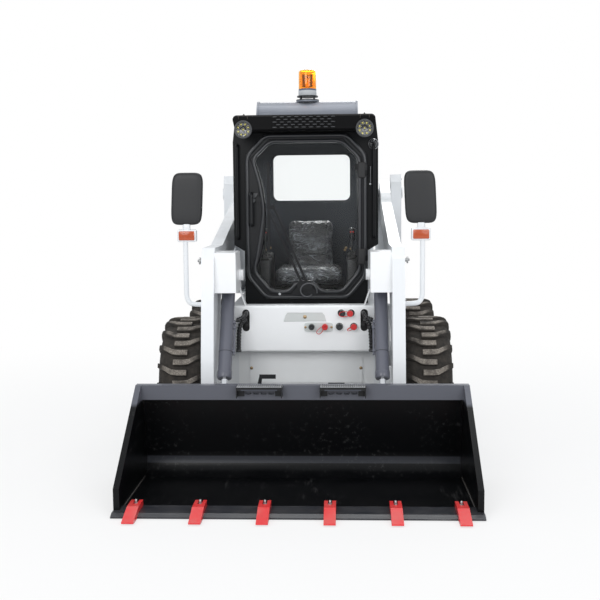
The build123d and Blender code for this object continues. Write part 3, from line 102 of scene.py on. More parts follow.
# A piece made of one shape or a list of them; edges that turn by more than the angle "sharp" stay sharp
def addMesh(name, shape, material, body, smooth=True, sharp=40, slot=None):
    verts, faces = joined(shape) if isinstance(shape, list) else shape
    mesh = bpy.data.meshes.new(name)
    mesh.from_pydata(np.asarray(verts, float).tolist(), [], [list(map(int, f)) for f in faces])
    mesh.validate()
    mesh.polygons.foreach_set("use_smooth", [smooth] * len(mesh.polygons))
    mesh.update()
    piece = bpy.data.objects.new(name, mesh)
    bpy.context.scene.collection.objects.link(piece)
    mesh.materials.append(material)
    if smooth and sharp:
        work = bmesh.new()
        work.from_mesh(mesh)
        limit = math.radians(sharp)
        for edge in work.edges:
            edge.smooth = not (edge.is_manifold and edge.calc_face_angle(0) > limit)
        work.to_mesh(mesh)
        work.free()
    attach(piece, body)
    return piece


# The same, with its doubled points merged and its faces turned outwards
def addSolid(name, shape, material, body, merge=0.00002, **more):
    piece = addMesh(name, shape, material, body, **more)
    work = bmesh.new()
    work.from_mesh(piece.data)
    bmesh.ops.remove_doubles(work, verts=work.verts, dist=merge)
    bmesh.ops.recalc_face_normals(work, faces=work.faces)
    work.to_mesh(piece.data)
    work.free()
    return piece


def softenEdges(piece, width):
    bevel = piece.modifiers.new("softEdges", "BEVEL")
    bevel.width, bevel.segments = width, 2
    bevel.limit_method, bevel.angle_limit = "ANGLE", math.radians(35)
    bevel.harden_normals = False
    return piece


# Pairs of places or of (along, out), given in millimetres
def mm(*values):
    return np.reshape(values, (-1, 2)) / 1000


# A closed profile of (along, out) turned about an axis: along = axis, out = distance from it
def latheShape(profile, centre, axis, count):
    profile = np.asarray(profile, float)
    axis = np.asarray(axis, float) / np.linalg.norm(axis)
    helper = np.array([0, 0, 1.0]) if abs(axis[2]) < 0.9 else np.array([1.0, 0, 0])
    u = np.cross(helper, axis)
    u /= np.linalg.norm(u)
    w = np.cross(axis, u)
    turn = np.linspace(0, 2 * np.pi, count, endpoint=False)
    ring = np.cos(turn)[:, None] * u + np.sin(turn)[:, None] * w
    verts = np.asarray(centre) + profile[None, :, :1] * axis + profile[None, :, 1:] * ring[:, None, :]
    return verts.reshape(-1, 3), gridFaces(count, len(profile), closeRows=True, closeColumns=True)


# A circle carried along a path: the frame at each point is turned on from the last one, and the radius is
# one number, one for each point, or one for each point and place round the circle
def tubeShape(path, radius, count=12, closed=False, squash=1.0):
    path = np.asarray(path, float)
    radius = np.asarray(radius, float)
    radius = radius if radius.ndim == 2 else np.broadcast_to(radius, (len(path),))[:, None]
    along = np.roll(path, -1, 0) - np.roll(path, 1, 0)
    if not closed:
        along[0], along[-1] = path[1] - path[0], path[-1] - path[-2]
    along /= np.linalg.norm(along, axis=1)[:, None]
    side = np.cross(along[0], [0.13, 0.41, 0.9])
    side /= np.linalg.norm(side)
    us = []
    for t in along:
        side = side - t * (side @ t)
        side /= np.linalg.norm(side)
        us.append(side)
    us = np.array(us)
    ws = np.cross(along, us)
    turn = np.linspace(0, 2 * np.pi, count, endpoint=False)
    ring = np.cos(turn)[None, :, None] * us[:, None] + squash * np.sin(turn)[None, :, None] * ws[:, None]
    verts = (path[:, None] + ring * radius[..., None]).reshape(-1, 3)
    faces = gridFaces(len(path), count, closeRows=closed, closeColumns=True)
    if not closed:
        last = (len(path) - 1) * count
        faces += [list(range(count)), list(range(last, last + count))[::-1]]
    return verts, faces


# A box pulled apart from a small sphere: point = sign(n) * (half - r) + r * n, so all its edges are round
def roundBoxShape(low, high, radius, steps=3):
    low, high = np.asarray(low, float), np.asarray(high, float)
    middle, half = (low + high) / 2, (high - low) / 2
    radius = min(radius, half.min() * 0.999)
    around = (np.arange(4 * steps) + 0.5) / (4 * steps)
    quarter = np.floor(around * 4)
    spot = (around * 4 - quarter - 0.5) * steps / max(steps - 1, 1) + 0.5
    turn = (quarter + spot) * np.pi / 2
    rise = np.linspace(0, np.pi / 2, steps)
    turnGrid, riseGrid = np.meshgrid(turn, np.concatenate([rise - np.pi / 2, rise]))
    n = np.stack([np.cos(riseGrid) * np.cos(turnGrid), np.cos(riseGrid) * np.sin(turnGrid),
                  np.sin(riseGrid)], -1)
    signX = np.where(np.isin(quarter, (0, 3)), 1, -1)
    signY = np.where(quarter < 2, 1, -1)
    signZ = np.where(np.arange(2 * steps) < steps, -1, 1)
    sign = np.stack(np.broadcast_arrays(signX[None, :], signY[None, :], signZ[:, None]), -1)
    verts = (middle + sign * (half - radius) + radius * n).reshape(-1, 3)
    columns, rows = 4 * steps, 2 * steps
    faces = [face[::-1] for face in gridFaces(rows, columns, closeColumns=True)]
    faces += [list(range(columns))[::-1], list(range((rows - 1) * columns, rows * columns))]
    return verts, faces


# Hexagon heads with a washer under each, standing on the points given, all along one axis
def boltShapes(places, axis, size=0.012, washer=True):
    ring = np.array([(0, 0.2), (0, 1.35), (0.16, 1.35), (0.22, 1.25), (0.22, 0.2)]) * size
    head = np.array([(0, 0.01), (0, 1), (0.62, 1), (0.72, 0.86), (0.72, 0.01)]) * size
    shapes = []
    for place in places:
        if washer:
            shapes.append(latheShape(ring, place, axis, 20))
        shapes.append(latheShape(head, np.asarray(place) + np.asarray(axis, float) * 0.2 * size, axis, 6))
    return shapes


# A closed plate: an outline in two directions, pushed along the third
def plateShape(outline, start, end, axis=1):
    outline = np.asarray(outline, float)
    count = len(outline)
    across, up = [k for k in range(3) if k != axis]
    verts = np.zeros((2, count, 3))
    verts[..., across] = outline[:, 0]
    verts[..., up] = outline[:, 1]
    verts[..., axis] = np.array([[start], [end]])
    return verts.reshape(-1, 3), gridFaces(2, count, closeColumns=True) + [
        list(range(count)), list(range(2 * count - 1, count - 1, -1))]


# A superellipse outline: x = half * |cos| ** power, z = tall * |sin| ** power, signs kept
def superellipse(count, half, tall, power):
    turn = np.linspace(0, 2 * np.pi, count, endpoint=False)
    c, s = np.cos(turn), np.sin(turn)
    return np.stack([np.sign(c) * np.abs(c) ** power * half, np.sign(s) * np.abs(s) ** power * tall], -1)


# The NURBS spline of a route's own points, read back as points on the line
def splinePoints(route, resolution=24):
    data = bpy.data.curves.new("route", "CURVE")
    data.dimensions, data.resolution_u = "3D", resolution
    spline = data.splines.new("NURBS")
    spline.points.add(len(route) - 1)
    spline.points.foreach_set("co", np.column_stack([route, np.ones(len(route))]).ravel())
    spline.order_u, spline.use_endpoint_u = 3, True
    holder = bpy.data.objects.new("route", data)
    mesh = bpy.data.meshes.new_from_object(holder)
    points = readPoints(mesh)
    bpy.data.objects.remove(holder)
    bpy.data.curves.remove(data)
    bpy.data.meshes.remove(mesh)
    return points


def readPoints(mesh):
    points = np.zeros(3 * len(mesh.vertices))
    mesh.vertices.foreach_get("co", points)
    return points.reshape(-1, 3)


# The same line with points an even step apart, and how far along it each lies
def evenly(points, step):
    points = np.asarray(points, float)
    along = np.concatenate([[0], np.cumsum(np.linalg.norm(np.diff(points, axis=0), axis=1))])
    wanted = np.linspace(0, along[-1], max(int(along[-1] / step), 4) + 1)
    return np.stack([np.interp(wanted, along, points[:, k]) for k in range(3)], -1), wanted


# Nodes

class Net:
    # Shorthand for adding, feeding and joining nodes
    def __init__(self, tree):
        self.tree = tree

    def add(self, kind, **settings):
        node = self.tree.nodes.new("ShaderNode" + kind)
        for key, value in settings.items():
            if key in node.bl_rna.properties:
                setattr(node, key, value)
            else:
                node.inputs[key].default_value = value
        return node

    def join(self, output, target):
        self.tree.links.new(output, target)

    # Values go into the inputs in turn: an output is joined, anything else is set
    def feed(self, inputs, *values):
        for target, value in zip(inputs, values):
            if isinstance(value, bpy.types.NodeSocket):
                self.join(value, target)
            else:
                target.default_value = value

    def place(self):
        return self.add("TexCoord").outputs["Object"]

    def axes(self, vector):
        node = self.add("SeparateXYZ")
        self.join(vector, node.inputs[0])
        return node.outputs

    def stretched(self, vector, scale):
        node = self.add("Mapping", Scale=scale)
        self.join(vector, node.inputs["Vector"])
        return node.outputs[0]

    def math(self, operation, *values, clamp=False):
        node = self.add("Math", operation=operation, use_clamp=clamp)
        self.feed(node.inputs, *values)
        return node.outputs[0]

    def times(self, first, *others):
        for other in others:
            first = self.math("MULTIPLY", first, other)
        return first

    # Takes the span of the first two numbers to the span of the last two
    def ramp(self, value, *spans, **settings):
        node = self.add("MapRange", **settings)
        self.feed(node.inputs, value, *spans)
        return node.outputs["Result"]

    def blend(self, factor, first, second, kind="RGBA", how="MIX"):
        node = self.add("Mix", data_type=kind, blend_type=how)
        start = {"RGBA": 6, "FLOAT": 2}[kind]
        self.feed((node.inputs[0], node.inputs[start], node.inputs[start + 1]), factor, first, second)
        return node.outputs[2 if kind == "RGBA" else 0]

    def noise(self, vector, **settings):
        node = self.add("TexNoise", **settings)
        self.join(vector, node.inputs["Vector"])
        return node.outputs["Fac"]

    # The share of a noise between a low and a high value of it
    def cloud(self, vector, scale, low, high, detail=4.0, rough=0.55):
        return self.ramp(self.noise(vector, Scale=scale, Detail=detail, Roughness=rough), low, high)

    def bump(self, shader, height, strength, distance=0.001, target="Normal"):
        node = self.add("Bump", Strength=strength, Distance=distance)
        self.join(height, node.inputs["Height"])
        self.join(node.outputs[0], shader.inputs[target])

    # The surface seen is the first, and the second where the factor is 1
    def surface(self, factor, first, second, out):
        node = self.add("MixShader")
        self.feed(node.inputs, factor, first.outputs[0], second.outputs[0])
        self.join(node.outputs[0], out.inputs["Surface"])

    def group(self, tree, **values):
        node = self.add("Group")
        node.node_tree = tree
        for key, value in values.items():
            node.inputs[key.replace("_", " ")].default_value = value
        return node


# A node group with its sockets, and the net inside it with its two ends
def newGroup(name, inputs, outputs):
    tree = bpy.data.node_groups.new(name, "ShaderNodeTree")
    for label, kind, value in inputs:
        socket = tree.interface.new_socket(label, in_out="INPUT", socket_type="NodeSocket" + kind)
        socket.default_value = value
    for label, kind in outputs:
        tree.interface.new_socket(label, in_out="OUTPUT", socket_type="NodeSocket" + kind)
    start, end = tree.nodes.new("NodeGroupInput"), tree.nodes.new("NodeGroupOutput")
    return tree, Net(tree), start.outputs, end.inputs


# Shared effects. Dust: settles on what faces up, from the first "facing" to the second, and low on the
# machine, from the first "height" down to the second, broken up by noise
dustValues = {"facing": (0.35, 1.0), "height": (1.1, 0.15), "scale": 7.0, "cut": (0.38, 0.66), "rough": 0.9}


def dustGroup():
    d = dustValues
    tree, net, start, end = newGroup(
        "settledDust",
        (("Color", "Color", (0.5, 0.5, 0.5, 1)), ("Dust Color", "Color", (0.42, 0.36, 0.3, 1)),
         ("Amount", "Float", 0.3), ("Low", "Float", 0.3), ("Roughness", "Float", 0.35)),
        (("Color", "Color"), ("Mask", "Float"), ("Roughness", "Float")))
    place = net.place()
    up = net.ramp(net.axes(net.add("NewGeometry").outputs["Normal"])["Z"], *d["facing"])
    low = net.ramp(net.axes(place)["Z"], *d["height"])
    both = net.math("ADD", up, net.times(low, start["Low"]), clamp=True)
    mask = net.times(both, net.cloud(place, d["scale"], *d["cut"], 7.0, 0.68), start["Amount"])
    net.join(net.blend(mask, start["Color"], start["Dust Color"]), end["Color"])
    net.join(mask, end["Mask"])
    net.join(net.blend(mask, start["Roughness"], d["rough"], "FLOAT"), end["Roughness"])
    return tree


# Fine unevenness of a sprayed coat or a moulding, as one height
def coatGroup():
    tree, net, start, end = newGroup(
        "sprayedCoat", (("Fine", "Float", 260.0), ("Broad", "Float", 9.0), ("Broad Share", "Float", 0.5)),
        (("Height", "Float"), ("Cloud", "Float")))
    place = net.place()
    noises = []
    for name, detail in (("Fine", 2.0), ("Broad", 3.0)):
        node = net.add("TexNoise", Detail=detail, Roughness=0.5)
        net.join(place, node.inputs["Vector"])
        net.join(start[name], node.inputs["Scale"])
        noises.append(node.outputs["Fac"])
    net.join(net.blend(start["Broad Share"], *noises, "FLOAT"), end["Height"])
    net.join(noises[1], end["Cloud"])
    return tree


# Scuffs: thin noise drawn out along one direction, as a mask
def scuffGroup():
    tree, net, start, end = newGroup(
        "drawnScuffs", (("Stretch", "Vector", (60.0, 1.5, 60.0)), ("Amount", "Float", 0.5),
                        ("Threshold", "Float", 0.62)), (("Mask", "Float"),))
    place = net.place()
    scaled = net.add("VectorMath", operation="MULTIPLY")
    net.feed(scaled.inputs, place, start["Stretch"])
    lines = net.noise(scaled.outputs[0], Scale=1.0, Detail=5.0, Roughness=0.7)
    keep = net.ramp(lines, start["Threshold"], 0.8)
    net.join(net.times(keep, net.cloud(place, 3.0, 0.45, 0.6, 3.0), start["Amount"]), end["Mask"])
    return tree


dust, coat, scuffs = dustGroup(), coatGroup(), scuffGroup()


# Materials

def newMaterial(name, color, rough, metal=0.0, coatWeight=0.0, coatRough=0.1):
    material = bpy.data.materials.new(name)
    material.use_nodes = True
    shader = material.node_tree.nodes["Principled BSDF"]
    for key, value in (("Base Color", (*color, 1)), ("Roughness", rough), ("Metallic", metal),
                       ("Coat Weight", coatWeight), ("Coat Roughness", coatRough)):
        shader.inputs[key].default_value = value
    material.diffuse_color = (*color, 1)
    return material, Net(material.node_tree), shader


# A sprayed or moulded finish: base colour with slight cloudiness, dust, grain and optional scuffs. Above
# the height of "band" another tone is painted in, a painted highlight as on a lip that the light meets.
# Within each box of "inside", from its low to its high corner, the piece has another tone: painted light or
# shade in some boxes, a colour of its own in others
def coated(name, color, rough, dustAmount, low, grain, fine=260.0, metal=0.0, coatWeight=0.0,
           coatRough=0.12, vary=0.06, gloss=0.5, dustColor=(0.4, 0.35, 0.29), scuff=None, stretch=None,
           threshold=0.6, scuffColor=None, band=None, inside=()):
    material, net, shader = newMaterial(name, color, rough, metal, coatWeight, coatRough)
    shader.inputs["Specular IOR Level"].default_value = gloss
    grainNode = net.group(coat, Fine=fine)
    tone = net.ramp(grainNode.outputs["Cloud"], 0.0, 1.0, 1 - vary, 1 + vary)
    base = net.blend(1.0, (*color, 1), tone, how="MULTIPLY")
    if band:
        base = net.blend(net.ramp(net.axes(net.place())["Z"], *band[:2]), base, (*band[2], 1))
    # A box's tone is either painted light or shade, or the piece's own colour (a lining, a black ring)
    for nearest, farthest, boxTone in inside:
        where = net.axes(net.place())
        tests = [net.math(operation, where[index], limit[index] + (edgeY if index == 1 else 0))
                 for operation, limit in (("GREATER_THAN", nearest), ("LESS_THAN", farthest))
                 for index in range(3)]
        base = net.blend(net.times(*tests), base, (*boxTone, 1))
    if scuff:
        marks = net.group(scuffs, Stretch=stretch, Amount=scuff, Threshold=threshold)
        base = net.blend(marks.outputs[0], base, (*scuffColor, 1))
    settled = net.group(dust, Amount=dustAmount, Low=low, Roughness=rough, Dust_Color=(*dustColor, 1))
    net.join(base, settled.inputs["Color"])
    net.join(settled.outputs["Color"], shader.inputs["Base Color"])
    net.join(settled.outputs["Roughness"], shader.inputs["Roughness"])
    net.bump(shader, grainNode.outputs["Height"], grain)
    return material


# Colours that more than one finish takes
# "lip" and "step" are painted highlight tones, lighter than the black, where the light meets the bucket's
# lip and the steps' faces
paints = {"white": (0.84, 0.86, 0.88), "black": (0.012, 0.0125, 0.014), "slate": (0.12, 0.125, 0.155),
          "steel": (0.5, 0.5, 0.5), "lip": (0.115, 0.12, 0.142), "step": (0.06, 0.064, 0.08)}

# Each finish says its colour, roughness, dust, dust low down and grain, and then what else is its own
# The box on the main frame's front plate, under the cross member, is painted a lighter white to offset the
# shade that the member casts there
whitePaint = coated("whitePaint", paints["white"], 0.34, 0.18, 0.25, 0.05, coatWeight=0.35, vary=0.015,
                    dustColor=(0.5, 0.47, 0.42),
                    inside=(((-0.43, 1.1, 0.3), (0.43, 1.6, 0.93), (0.93, 0.945, 0.95)),))
# Painted light: the cross member's white is a lighter copy of the white paint, offsetting the shade it lies
# in behind the arms
memberLitWhite = coated("memberLitWhite", (0.95, 0.96, 0.97), 0.34, 0.02, 0.0, 0.05, coatWeight=0.35, vary=0.015)
blackPaint = coated("blackPaint", paints["black"], 0.36, 0.06, 0.2, 0.08, gloss=0.3)
cabPaint = coated("cabPaint", (0.009, 0.0095, 0.011), 0.34, 0.03, 0.0, 0.06, fine=420.0, gloss=0.3)
cabShellPaint = coated("cabShellPaint", (0.005, 0.0055, 0.0065), 0.34, 0.03, 0.0, 0.06, fine=420.0,
                       gloss=0.18, inside=(((-0.432, 1.56, 0.93), (0.432, 2.7075, 2.083),
                                            (0.036, 0.041, 0.05)),))
visorPaint = coated("visorPaint", (0.0016, 0.0016, 0.002), 0.4, 0.02, 0.0, 0.06, gloss=0.1)
# Painted highlight: the light grey of the glints set in the visor's mesh
paintedMeshGlint = coated("paintedMeshGlint", (0.06, 0.062, 0.068), 0.3, 0.0, 0.0, 0.05)
# The band above the lip's height is a painted highlight, and the box along the heel is a painted
# reflection, a lighter band across the full width; the scuffs and dust are wear
bucketPaint = coated("bucketPaint", (0.0022, 0.0024, 0.003), 0.3, 0.04, 0.1, 0.1, gloss=0.2, scuff=0.5,
                     stretch=(40.0, 5.0, 40.0), threshold=0.56, scuffColor=(0.12, 0.12, 0.12),
                     dustColor=(0.06, 0.058, 0.055), band=(0.456, 0.474, paints["lip"]),
                     inside=(((-0.907, 0.6, 0.076), (0.907, 0.7725, 0.115), (0.028, 0.03, 0.037)),))
# The boxes on the steps' faces are painted in the lighter step tone, a painted highlight like the lip's
stepPaint = coated("stepPaint", paints["black"], 0.36, 0.04, 0.1, 0.08, gloss=0.3,
                   inside=(((-0.335, 0.57, 0.49), (-0.132, 0.6, 0.541), paints["step"]),
                           ((0.132, 0.57, 0.49), (0.335, 0.6, 0.541), paints["step"])))
edgePaint = coated("edgePaint", (0.02, 0.022, 0.028), 0.34, 0.16, 0.3, 0.16, coatWeight=0.15, scuff=0.6,
                   stretch=(3.0, 70.0, 70.0), threshold=0.54, scuffColor=(0.2, 0.2, 0.2),
                   dustColor=(0.16, 0.15, 0.14))
slatePaint = coated("slatePaint", paints["slate"], 0.32, 0.04, 0.1, 0.06, coatWeight=0.25, coatRough=0.2)
silverPaint = coated("silverPaint", (0.2, 0.215, 0.25), 0.42, 0.05, 0.0, 0.05, metal=0.3, scuff=0.3,
                     stretch=(2.2, 34.0, 60.0), threshold=0.45, scuffColor=(0.55, 0.57, 0.6),
                     inside=(((-0.085, 1.91, 2.2648), (0.085, 2.09, 2.2975), (0.02, 0.021, 0.023)),))
redPaint = coated("redPaint", (0.76, 0.03, 0.034), 0.3, 0.2, 0.3, 0.1, coatWeight=0.4, vary=0.1, scuff=0.3,
                  stretch=(50.0, 3.0, 50.0), scuffColor=(0.25, 0.06, 0.05))
chromeRod = coated("chromeRod", (0.83, 0.84, 0.86), 0.09, 0.04, 0.3, 0.01, metal=1.0, vary=0.01)
boltSteel = coated("boltSteel", paints["steel"], 0.34, 0.1, 0.3, 0.1, metal=0.9, vary=0.12)
bronzeSteel = coated("bronzeSteel", (0.42, 0.3, 0.17), 0.36, 0.1, 0.3, 0.1, metal=0.85, vary=0.12)
weldSteel = coated("weldSteel", (0.022, 0.021, 0.02), 0.42, 0.15, 0.3, 0.2, metal=0.3, vary=0.2)
wornSteel = coated("wornSteel", (0.5, 0.51, 0.53), 0.35, 0.1, 0.3, 0.2, metal=0.7, vary=0.25)
barSteel = coated("barSteel", (0.22, 0.225, 0.235), 0.35, 0.05, 0.0, 0.1, metal=0.5)
guardWire = coated("guardWire", (0.06, 0.05, 0.04), 0.5, 0.05, 0.0, 0.1)
blackPlastic = coated("blackPlastic", (0.014, 0.0145, 0.016), 0.46, 0.06, 0.0, 0.15, fine=700.0)
glossPlastic = coated("glossPlastic", (0.02, 0.021, 0.023), 0.22, 0.06, 0.0, 0.03, fine=500.0)
rubberSeal = coated("rubberSeal", (0.02, 0.02, 0.021), 0.65, 0.12, 0.0, 0.2, fine=500.0)
lampShell = coated("lampShell", (0.05, 0.052, 0.055), 0.45, 0.08, 0.0, 0.2, fine=600.0)
greyPlastic = coated("greyPlastic", (0.55, 0.57, 0.59), 0.42, 0.1, 0.0, 0.1)
cupPlastic = coated("cupPlastic", (0.24, 0.24, 0.26), 0.35, 0.0, 0.0, 0.05, metal=0.4)
jointPlastic = coated("jointPlastic", (0.12, 0.15, 0.22), 0.4, 0.05, 0.0, 0.05)
redLens = coated("redLens", (0.5, 0.02, 0.012), 0.16, 0.08, 0.0, 0.02, coatWeight=0.6)
indicatorLens = coated("indicatorLens", (0.5, 0.075, 0.012), 0.2, 0.05, 0.0, 0.02, coatWeight=0.6)
mirrorGlass = coated("mirrorGlass", (0.7, 0.72, 0.74), 0.03, 0.02, 0.3, 0.0, metal=1.0, vary=0.0)
greyPlate = coated("greyPlate", (0.68, 0.71, 0.7), 0.4, 0.1, 0.2, 0.08)
# Painted shade: near-black pieces set in openings, the couplers' wells and the steps' slots, where there is
# only shade
holeShade = coated("holeShade", (0.004, 0.004, 0.0045), 0.8, 0.0, 0.0, 0.05)
redCap = coated("redCap", (0.62, 0.02, 0.02), 0.38, 0.05, 0.0, 0.15, fine=500.0)
# Painted shade: the member's recess gets a greyer white for the shade inside the pocket, and its ledge a
# darker grey for the shade along the pocket's lower edge
recessShade = coated("recessShade", (0.66, 0.68, 0.67), 0.4, 0.05, 0.3, 0.05)
ledgeShade = coated("ledgeShade", (0.42, 0.43, 0.43), 0.4, 0.05, 0.3, 0.05)
tubePaint = coated("tubePaint", (0.014, 0.0155, 0.019), 0.3, 0.03, 0.0, 0.05, coatWeight=0.5, coatRough=0.2)
greyHose = coated("greyHose", (0.1, 0.103, 0.11), 0.4, 0.05, 0.0, 0.1)
# The LEDs' yellow is their own colour; the faint emission is a painted glow, not the light of a lamp that
# is on
ledYellowPaintedGlow, _, ledShader = newMaterial("ledYellowPaintedGlow", (0.66, 0.58, 0.16), 0.35)
ledShader.inputs["Emission Color"].default_value = (1.0, 0.9, 0.35, 1)
ledShader.inputs["Emission Strength"].default_value = 0.02


# Clear tinted glass that lets the lamps' light through
def glassMaterial(name, color, rough=0.0, index=1.45):
    material, net, shader = newMaterial(name, color, rough)
    shader.inputs["Transmission Weight"].default_value = 1.0
    shader.inputs["IOR"].default_value = index
    clear = net.add("BsdfTransparent", Color=(*color, 1))
    net.surface(net.add("LightPath").outputs["Is Shadow Ray"], shader, clear,
                material.node_tree.nodes["Material Output"])
    return material


cabGlass = glassMaterial("cabGlass", (0.96, 0.975, 0.975), index=1.22)
lensGlass = glassMaterial("lensGlass", (0.85, 0.86, 0.85), 0.03, 1.3)
amberGlass = glassMaterial("amberGlass", (1.0, 0.6, 0.1), 0.05)

finishes = {
    whitePaint: ("main_frame", "rear_bumper", "rear_towers", "lift_arm_left", "lift_arm_right", "hood_lid",
                 "engine_cowl", *(f"rim_{wheel}" for wheel, sign in wheels)),
    memberLitWhite: ("cross_member",),
    cabShellPaint: ("cab_shell",),
    cabPaint: ("cab_footwell", "door_frame"),
    visorPaint: ("visor",),
    blackPaint: ("coupler", "tailgate"),
    stepPaint: ("bucket_steps",),
    bucketPaint: ("bucket_shell",),
    edgePaint: ("cutting_edge",),
    redPaint: ("bucket_teeth",),
    slatePaint: ("tilt_barrel_left", "tilt_barrel_right", "lift_barrel_left", "lift_barrel_right",
                 "engine_block"),
    silverPaint: ("roof_unit",),
    chromeRod: ("tilt_rod_left", "tilt_rod_right", "lift_rod_left", "lift_rod_right"),
    blackPlastic: ("mirrors", "seat_consoles", "seat_cushion", "seat_back"),
    rubberSeal: ("hoses",),
    boltSteel: ("aux_couplers",),
    cabGlass: ("cab_glass", "door_glass"),
    amberGlass: ("lamps",),
}
for material, nodes in finishes.items():
    for node in nodes:
        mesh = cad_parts[node].data
        mesh.materials.clear()
        mesh.materials.append(material)
print("materials done")


# Tyres

tyre = {"radius": 0.42, "lugDepth": 0.024, "width": 0.29, "bead": 0.212, "lugs": 20, "lugWidth": 0.034,
        "around": 200, "grooveColors": ((0.01, 0.009, 0.008, 1), (0.055, 0.045, 0.036, 1)),
        "topColors": ((0.15, 0.13, 0.11, 1), (0.3, 0.27, 0.235, 1))}


# Brown-black rubber: dust lies deep between the lugs, and the lugs' worn tops are pale
def tyreMaterial(name, centre):
    material, net, shader = newMaterial(name, (0.03, 0.027, 0.024), 0.82)
    place = net.place()
    centred = net.add("Mapping", Location=(0.0, -centre[1], -centre[2]), Scale=(0.0, 1.0, 1.0))
    net.join(place, centred.inputs["Vector"])
    length = net.add("VectorMath", operation="LENGTH")
    net.join(centred.outputs[0], length.inputs[0])
    worn = net.ramp(length.outputs["Value"], tyre["radius"] - 0.009, tyre["radius"] - 0.001)
    smear = net.times(net.cloud(place, 24.0, 0.3, 0.66, 6.0, 0.7), 0.75)
    groove = net.blend(smear, *tyre["grooveColors"])
    top = net.blend(net.cloud(place, 150.0, 0.42, 0.62, 3.0, 0.6), *tyre["topColors"])
    mask = net.times(worn, net.cloud(place, 13.0, 0.3, 0.52, 5.0))
    net.join(net.blend(mask, groove, top), shader.inputs["Base Color"])
    net.bump(shader, net.cloud(place, 190.0, 0.2, 0.8, 4.0, 0.65), 0.35, 0.0012)
    return material


# The carcass: a closed cross-section (offset across, radius) turned about the axle
def carcassShape(side, centre):
    bead, half = tyre["bead"], tyre["width"] / 2
    base = tyre["radius"] - tyre["lugDepth"]
    right = np.array([(0.0, base), (0.06, base - 0.001), (0.1, base - 0.006), (0.125, base - 0.024),
                      (0.139, base - 0.052), (half - 0.001, base - 0.085), (half - 0.003, base - 0.12),
                      (0.134, base - 0.15), (0.122, base - 0.172), (0.117, bead + 0.006), (0.112, bead),
                      (0.1, bead), (0.095, bead + 0.03), (0.11, bead + 0.07), (0.11, base - 0.05),
                      (0.07, base - 0.028), (0.0, base - 0.026)])
    profile = np.concatenate([right, (right * (-1, 1))[-2:0:-1]])
    return latheShape(profile * (side, 1), centre, (1, 0, 0), tyre["around"])


# One lug: stations run from beyond the tread's middle out over the shoulder and down the sidewall; each
# station is a flat-topped bar across, wrapped on the cylinder by angle = place / radius
def lugShapes(side, centre):
    # Columns: place across, sweep, radius of the top, share of the width, depth down, move inwards
    run = np.array([
        (-0.042, 0.0, 0.42, 1.0, 0.034, 0), (-0.036, 0.0, 0.42, 1.0, 0.034, 0),
        (0.02, 0.0, 0.42, 1.0, 0.034, 0), (0.052, 0.004, 0.42, 1.0, 0.034, 0),
        (0.075, 0.017, 0.419, 0.94, 0.035, 0), (0.1, 0.031, 0.4155, 0.9, 0.036, 0),
        (0.122, 0.043, 0.409, 0.9, 0.04, 0.004), (0.134, 0.049, 0.4, 0.9, 0.043, 0.012),
        (0.141, 0.053, 0.388, 0.88, 0.04, 0.02), (0.1438, 0.056, 0.365, 0.82, 0.03, 0.022),
        (0.144, 0.058, 0.335, 0.7, 0.022, 0.02), (0.139, 0.059, 0.312, 0.5, 0.014, 0.014)])
    across = np.array([-1.28, -1.05, -0.92, 0.92, 1.05, 1.28])
    depth = np.array([1.0, 0.1, 0.0, 0.0, 0.1, 1.0])
    x, sweep, top, wide, down, inward = (run[:, i:i + 1] for i in range(6))
    place = sweep + across * wide * tyre["lugWidth"] / 2
    radius = top - down * depth
    xs = x - inward * depth
    rows, columns = xs.shape
    faces = gridFaces(rows, columns)
    faces += [list(range(columns)), list(range((rows - 1) * columns, rows * columns))[::-1]]
    faces += [[s * columns, (s + 1) * columns - 1, (s + 2) * columns - 1, (s + 1) * columns]
              for s in range(rows - 1)]
    shapes = []
    for index in range(tyre["lugs"]):
        for hand, start in ((1, -index), (-1, index + 0.5)):
            angle = start * 2 * np.pi / tyre["lugs"] + place / tyre["radius"]
            verts = np.stack([side * hand * xs + centre[0], centre[1] + radius * np.sin(angle),
                              centre[2] + radius * np.cos(angle)], -1).reshape(-1, 3)
            shapes.append((verts, faces))
    return shapes


def tyres():
    for wheel, sign in wheels:
        centre = sum(corner(f"tyre_{wheel}")) / 2
        material = tyreMaterial(f"tyreRubber_{wheel}", centre)
        shapes = [carcassShape(sign, centre)] + lugShapes(sign, centre)
        piece = addSolid(f"treadedTyre_{wheel}", shapes, material, f"wheel_{wheel}", 1e-6, sharp=32)
        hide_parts(f"tyre_{wheel}")


tyres()
print("tyres done")


# Beacon, work lamps and tail lamps

lamp = {"beaconRadius": 0.06, "beaconY": 2.0, "domeHeight": 0.128, "baseHeight": 0.054, "wall": 0.003,
        "ledCount": 8, "ledRing": 0.0335, "lampX": 0.3745, "lampZ": 2.024, "lampRadius": 0.0555,
        "tailX": (0.407, 0.488), "tailZ": (1.05, 1.26)}


